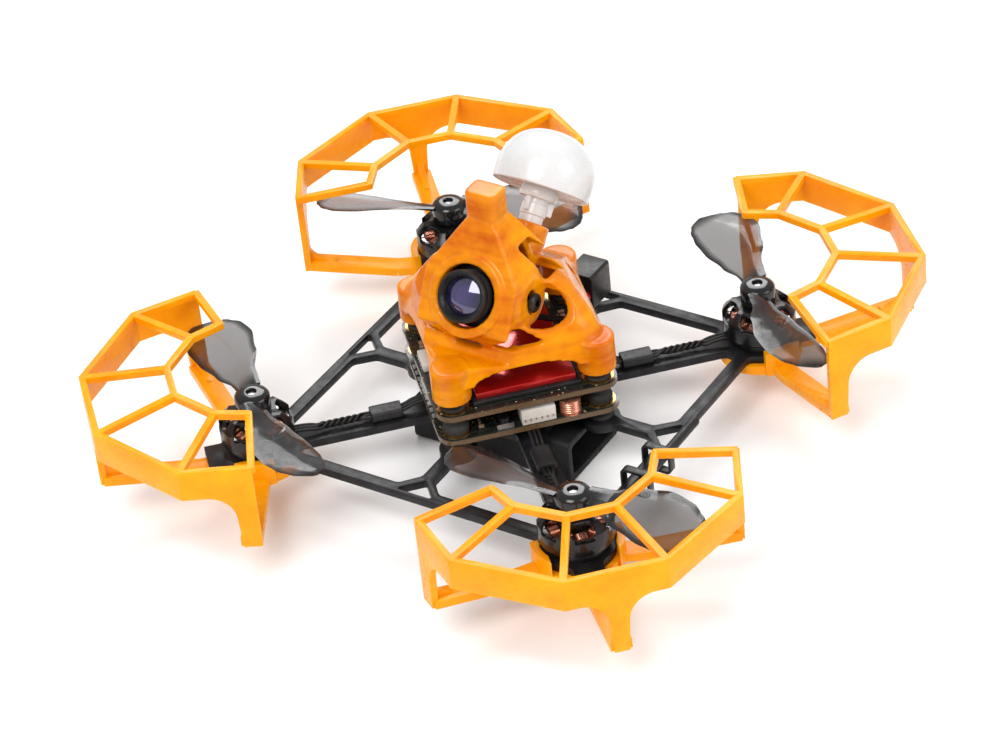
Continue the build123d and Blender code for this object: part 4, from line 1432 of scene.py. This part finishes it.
    def build_inductor(self) -> None:
        """Copper inductor with its wire wound round a core."""
        bm = bmesh.new()
        place = self.axes @ Matrix.Translation(Vector((7.2, -14.2, 0)) * MM)
        first = self.main_top + 0.3
        rings = [(0.0, self.main_top), (1.9, self.main_top), (1.9, first)]
        for n in range(self.inductor_turns):
            low = first + n * self.inductor_pitch
            rings += [(1.62, low), (1.82, low + 0.1), (1.86, low + 0.2), (1.82, low + 0.3),
                      (1.62, low + 0.39)]
        rings += [(1.9, 16.32), (1.9, 16.5), (1.7, 16.6), (0.0, 16.6)]
        lathe(bm, rings, 28, place)
        settle(to_object("wound_inductor", bm, ("wire",), 45.0), "airframe", "copper", "power_inductor")

    def build(self) -> None:
        """Make every piece of the stack."""
        self.build_boards()
        self.build_parts()
        self.build_pads()
        self.build_dampers()
        self.build_cooling()
        self.build_soldered()
        self.build_inductor()


# ------------------------------------------------------------------ wiring
@dataclass
class Wiring:
    """Motor leads and their sleeves, battery leads, plug, receiver antenna and coaxial lead."""

    spacing: float = 0.75
    lead: float = 0.3
    low: float = 11.0
    motor_height: float = 11.55
    board_height: float = 12.3
    twist_start: float = 35.2
    twist_length: float = 8.8
    twist_turns: float = 2.6
    twist_steps: int = 22
    twist_reach: float = 0.46
    sleeve_start: float = 19.8
    sleeve_length: float = 5.6
    sleeve_steps: int = 57
    sleeve_sides: int = 32
    sleeve_bore: tuple[float, float] = (1.12, 0.34)
    sleeve_half: tuple[float, float] = (1.72, 0.97)
    weave: float = 0.05
    battery_lead: float = 0.8
    pin_middle: float = 15.5
    pin_offset: float = 1.3
    receiver_start: Triple = (34.4, -17.0, 11.3)
    receiver_length: float = 21.0
    receiver_radius: float = 0.9

    def build_motor_leads(self) -> None:
        """Run three leads along every arm, twisted together between motor and sleeve."""
        routes = []
        for n, corner in enumerate(Corner):
            turn = Matrix.Rotation(corner.arm_angle, 3, "Z")
            for lead in (-1, 0, 1):
                aside = lead * self.spacing
                line = [(40.355, aside, self.motor_height), (37.205, aside, self.motor_height)]
                for k in range(self.twist_steps):
                    share = k / (self.twist_steps - 1)
                    phase = 2 * math.pi * (self.twist_turns * share + lead / 3 + 0.13 * n)
                    reach = self.twist_reach * math.sin(math.pi * min(1.0, 5 * min(share, 1 - share)) / 2)
                    flat = aside * (1 - reach / self.twist_reach)
                    line.append((self.twist_start - self.twist_length * share, flat + reach * math.cos(phase),
                                 self.low + 0.06 + reach * math.sin(phase)))
                line += [(25.2, aside, self.low), (19.6, aside, self.low), (17.4, aside, self.board_height),
                         (14.4, aside, self.board_height)]
                routes.append([tuple(turn @ Vector(spot)) for spot in line])
        settle(tube("arm_leads", routes, self.lead, "lead"), "airframe", "wire", "motor_leads")

    def build_sleeves(self) -> None:
        """Wrap a ribbed woven sleeve over the leads of every arm."""
        bm = bmesh.new()
        steps, sides = self.sleeve_steps, self.sleeve_sides
        for n, corner in enumerate(Corner):
            turn = Matrix.Rotation(corner.arm_angle, 4, "Z")
            rings = []
            for inside in (False, True):
                for k in range(steps):
                    share = 1 - k / (steps - 1) if inside else k / (steps - 1)
                    along = self.sleeve_start + 0.02 + share * (self.sleeve_length - 0.04)
                    half_wide, half_tall = self.sleeve_bore if inside else self.sleeve_half
                    ring = []
                    for m in range(sides):
                        a = 2 * math.pi * m / sides
                        c, s = math.cos(a), math.sin(a)
                        weave = 0.0 if inside else self.weave * math.sin(share * 64 + (m % 2) * math.pi + n)
                        flare = 0.12 if not inside and k in (0, steps - 1) else 0.0
                        y = math.copysign(abs(c) ** 0.5, c) * (half_wide + weave * 0.6 - flare)
                        z = math.copysign(abs(s) ** 0.5, s) * (half_tall + weave * 0.4 - flare - 0.01)
                        ring.append(bm.verts.new(turn @ (Vector((along, y, self.low + z)) * MM)))
                    rings.append(ring)
            for ring, follow in zip(rings, rings[1:] + rings[:1]):
                for m in range(sides):
                    bm.faces.new((ring[m], ring[(m + 1) % sides], follow[(m + 1) % sides], follow[m]))
        settle(to_object("arm_sleeves", bm, ("sleeve",), 50.0), "airframe", "wire", "lead_sleeves")

    def build_battery_leads(self) -> None:
        """Red and black leads from the plug to the main board."""
        pieces = []
        for side, finish in ((1, "red_lead"), (-1, "lead")):
            route = ((side * 1.5, 24.0, 15.0), (side * 3.1, 20.5, 14.6), (side * 4.3, 15.0, 14.4))
            name = "battery_lead_red" if side > 0 else "battery_lead_black"
            pieces.append(tube(name, [route], self.battery_lead, finish, 16))
        settle(pieces[0], "airframe", "wire", "battery_leads")
        settle(pieces[1], "airframe", "wire")

    def build_plug(self) -> None:
        """Two-pin plug housing and its pins."""
        housing = eased("power_connector", "plug_housing", "housing", 0.3, 3)
        settle(housing, "airframe", "black_plastic", "power_connector")
        bm = bmesh.new()
        for height in (self.pin_middle - self.pin_offset, self.pin_middle + self.pin_offset):
            place = Matrix.Translation(Vector((0, 24.9, height)) * MM) @ Matrix.Rotation(-math.pi / 2, 4, "X")
            lathe(bm, ((0, 0), (0.6, 0), (0.6, 4.0), (0.45, 4.45), (0, 4.6)), 20, place)
        settle(to_object("plug_pins", bm, ("gold",), 40.0), "airframe", "gold", "connector_pins")

    def build_receiver(self) -> None:
        """Receiver antenna tube and its ties."""
        bm = bmesh.new()
        place = Matrix.Translation(Vector(self.receiver_start) * MM) @ Matrix.Rotation(-math.pi / 2, 4, "X")
        half = ((0, 0), (self.receiver_radius - 0.2, 0), (self.receiver_radius - 0.02, 0.12),
                (self.receiver_radius, 0.4))
        profile = half + tuple((radius, self.receiver_length - height) for radius, height in reversed(half))
        lathe(bm, profile, 24, place)
        settle(to_object("receiver_tube", bm, ("sleeve",), 50.0), "airframe", "wire", "receiver_antenna")
        ties = eased("antenna_ties", "cable_ties", "housing", 0.12)
        settle(ties, "airframe", "black_plastic", "antenna_ties")

    def build(self) -> None:
        """Make all the wiring."""
        self.build_motor_leads()
        self.build_sleeves()
        self.build_battery_leads()
        self.build_plug()
        self.build_receiver()
        coat_node("antenna_coax", "lead")


# ------------------------------------------------------------------ canopy, camera and antenna
@dataclass
class Canopy:
    """Printed canopy over the stack, with its camera and video antenna."""

    voxel: float = 0.30
    quick_voxel: float = 0.48
    passes: int = 7
    pivot: Triple = (0.0, -5.0, 34.6)
    tilt: float = math.radians(30.0)
    lens_drop: float = 0.9
    lens_radius: float = 3.38
    lens_edge: float = 6.75
    lens_crown: float = 0.85
    grip_rings: int = 4
    grip_pitch: float = 0.35
    antenna_rim: Triple = (0.0, 14.7, 42.7)
    antenna_tilt: float = math.radians(45.0)
    cap_steps: int = 18
    cap_radius: float = 8.66
    cap_rim: float = 3.0
    cap_height: float = 10.55

    @property
    def lens_axes(self) -> Matrix:
        """Find the lens's own axes.

        Returns:
            Matrix with +Z out of the lens, and its origin beside the pivot.
        """
        outwards = Vector((0, -math.cos(self.tilt), math.sin(self.tilt)))
        across = Vector((1, 0, 0))
        up = outwards.cross(across)
        turn = Matrix((across, up, outwards)).transposed().to_4x4()
        drop = Matrix.Translation((0, -self.lens_drop * MM, 0))
        return Matrix.Translation(Vector(self.pivot) * MM) @ turn @ drop

    @property
    def antenna_axes(self) -> Matrix:
        """Matrix of the antenna: +Z along it, origin at its cap's rim."""
        return Matrix.Translation(Vector(self.antenna_rim) * MM) @ Matrix.Rotation(-self.antenna_tilt, 4, "X")

    def build_shell(self) -> None:
        """Soften the canopy as a printed piece."""
        voxel = self.voxel
        piece = printed("canopy", "printed_canopy", "canopy", voxel, self.passes)
        settle(piece, "airframe", "tpu_orange", "canopy")

    def build_barrel(self) -> None:
        """Lens barrel with a ringed grip."""
        bm = bmesh.new()
        profile = [(0.0, 2.5), (3.55, 2.5), (4.0, 2.5), (4.0, 4.9)]
        for n in range(self.grip_rings):
            low = 5.0 + n * self.grip_pitch
            profile += [(4.5, low), (4.58, low + 0.08), (4.58, low + 0.2), (4.46, low + 0.3)]
        profile += [(4.56, 6.5), (4.6, 6.7), (4.6, 7.7), (4.45, 7.93), (4.2, 8.0), (3.95, 7.96), (3.7, 7.55),
                    (3.42, 7.2), (3.4, 6.0), (0.0, 6.0)]
        lathe(bm, profile, 64, self.lens_axes)
        settle(to_object("lens_ring", bm, ("housing",), 40.0), "camera", "black_plastic", "lens_barrel")

    def build_lens(self) -> None:
        """Domed front lens, with its distance from the axis as an attribute."""
        bm = bmesh.new()
        reach = bm.verts.layers.float.new("reach")
        dome = [(0.0, 6.02), (self.lens_radius, 6.02), (self.lens_radius, self.lens_edge)]
        for n in range(1, 10):
            share = 1 - n / 9
            dome.append((self.lens_radius * share, self.lens_edge + self.lens_crown * (1 - share * share)))
        lathe(bm, dome, 56, self.lens_axes)
        # The reach attribute places the painted reflection in the lens finish.
        inverse = self.lens_axes.inverted()
        for vert in bm.verts:
            spot = inverse @ vert.co
            vert[reach] = min(1.0, math.hypot(spot.x, spot.y) / (self.lens_radius * MM))
        settle(to_object("front_lens", bm, ("lens",), 40.0), "camera", "lens_coat", "lens_glass")

    def build_side_screws(self) -> None:
        """Screws that the camera tilts on, one on each side."""
        bm = bmesh.new()
        for side in (1, -1):
            place = Matrix.Translation(Vector(self.pivot) * MM) @ Matrix.Rotation(side * math.pi / 2, 4, "Y")
            lathe(bm, ((0, 4.6), (0.9, 4.6), (0.9, 9.6), (1.7, 9.6), (1.7, 10.1), (1.45, 10.4), (1.1, 10.5),
                       (0.62, 10.5)), 28, place)
            lathe(bm, ((0.62, 10.5), (0.6, 9.9), (0, 9.9)), 6, place)
        piece = to_object("camera_side_screws", bm, ("screw",), 35.0)
        settle(piece, "camera", "screw_black", "camera_screws")

    def build_cap(self) -> None:
        """White mushroom cap with a turned rim."""
        bm = bmesh.new()
        r, rim, top, steps = self.cap_radius, self.cap_rim, self.cap_height, self.cap_steps
        profile = [(0.0, 0.35), (r - 1.3, 0.35), (r - 0.9, 0.05), (r - 0.4, 0.0), (r - 0.1, 0.15), (r, 0.5),
                   (r, rim)]
        for n in range(1, steps + 1):
            turn = math.pi / 2 * n / steps
            reach = r * math.cos(turn) ** 0.8 if n < steps else 0.0
            profile.append((reach, rim + (top - rim) * math.sin(turn) ** 1.05))
        lathe(bm, profile, 72, self.antenna_axes)
        settle(to_object("mushroom_cap", bm, ("cap",), 35.0), "airframe", "antenna_white", "antenna_cap")

    def build_stem(self) -> None:
        """Stem under the cap, with three fins."""
        bm = bmesh.new()
        profile = ((0, -14.0), (2.08, -14.0), (2.08, -4.6), (2.3, -4.4), (2.3, -2.6), (2.1, -2.4),
                   (2.1, -1.7), (3.2, -1.5), (3.38, -1.2), (3.38, -0.1), (3.2, 0.34), (0, 0.34))
        lathe(bm, profile, 40, self.antenna_axes)
        for k in range(3):
            fin = self.antenna_axes @ Matrix.Rotation(2 * math.pi * k / 3 + 0.5, 4, "Z")
            block(bm, (1.4, 0.8, 2.4), (2.5, 0, -2.8), fin, 0.12)
        settle(to_object("antenna_post", bm, ("cap",), 35.0), "airframe", "antenna_white", "antenna_stem")

    def build(self) -> None:
        """Make the canopy and all it carries."""
        self.build_shell()
        case = eased("camera_body", "camera_case", "housing", 0.3, 3)
        settle(case, "camera", "black_plastic", "camera_body")
        self.build_barrel()
        self.build_lens()
        self.build_side_screws()
        self.build_cap()
        self.build_stem()


# ------------------------------------------------------------------ studio
@dataclass
class Studio:
    """Floor, soft lights and the camera that looks at the craft, its place in mm, its turn in degrees."""

    place: Triple = (291.24, -419.20, 386.07)
    turn: Triple = (53.696, 5.068, 31.287)
    lens: float = 130.5
    sensor: float = 36.0
    aim: Triple = (0.0, 0.0, 0.02)
    room_light: float = 0.62

    def build_camera(self) -> None:
        """Set the camera by its place and its turn about X, Y and Z."""
        data = bpy.data.cameras.new("studio_camera")
        data.lens = self.lens
        data.sensor_width = self.sensor
        data.sensor_fit = "HORIZONTAL"
        data.clip_start = 0.01
        camera = bpy.data.objects.new("studio_camera", data)
        bpy.context.scene.collection.objects.link(camera)
        axes = Euler([math.radians(angle) for angle in self.turn], "XYZ").to_matrix().to_4x4()
        camera.matrix_world = Matrix.Translation(Vector(self.place) * MM) @ axes
        bpy.context.scene.camera = camera

    def build_floor(self) -> None:
        """Pale floor under the craft."""
        bm = bmesh.new()
        bmesh.ops.create_grid(bm, x_segments=1, y_segments=1, size=3.0)
        floor = to_object("studio_floor", bm, (), None)
        s = Shader("floor_paper")
        s.set(Base_Color=s.blend(s.spread(s.noise(6.0), 0.3, 0.7), (0.90, 0.90, 0.90), (0.93, 0.93, 0.93)),
              Roughness=0.85)
        floor.data.materials.append(s.material)

    def light(self, name: str, spot: Triple, size: float, power: float) -> None:
        """Add a square light that faces the craft.

        Args:
            name: the light's name.
            spot: its place in metres.
            size: its side in metres.
            power: its power in watts.
        """
        data = bpy.data.lights.new(name, "AREA")
        data.size = size
        data.energy = power
        lamp = bpy.data.objects.new(name, data)
        bpy.context.scene.collection.objects.link(lamp)
        aim = Vector(self.aim) - Vector(spot)
        lamp.matrix_world = Matrix.Translation(spot) @ aim.to_track_quat("-Z", "Y").to_matrix().to_4x4()

    def build_lights(self) -> None:
        """Soft key, fill and back light in a pale room."""
        self.light("key", (0.05, -0.55, 0.75), 0.45, 5.2)
        self.light("fill", (0.75, 0.1, 0.45), 0.5, 2.6)
        self.light("back", (-0.35, 0.65, 0.7), 0.5, 5.0)
        world = bpy.data.worlds.new("pale_room")
        world.use_nodes = True
        background = world.node_tree.nodes["Background"]
        background.inputs["Color"].default_value = (1.0, 1.0, 1.0, 1.0)
        background.inputs["Strength"].default_value = self.room_light
        bpy.context.scene.world = world
        bpy.context.scene.view_settings.view_transform = "Standard"

    def build(self) -> None:
        """Make the studio."""
        self.build_camera()
        self.build_floor()
        self.build_lights()


def main() -> None:
    """Build every sub-assembly in order."""
    logging.basicConfig(level=logging.INFO, format="%(message)s")
    Studio().build()
    Airframe().build()
    motors = [Motor(corner) for corner in Corner]
    for motor in motors:
        motor.build()
    Windings(motors).build()
    coat_node("bearings", "steel")
    for corner in Corner:
        Propeller(corner).build()
    Fasteners().build()
    Stack().build()
    Wiring().build()
    Canopy().build()
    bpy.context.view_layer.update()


if __name__ == "__main__":
    main()
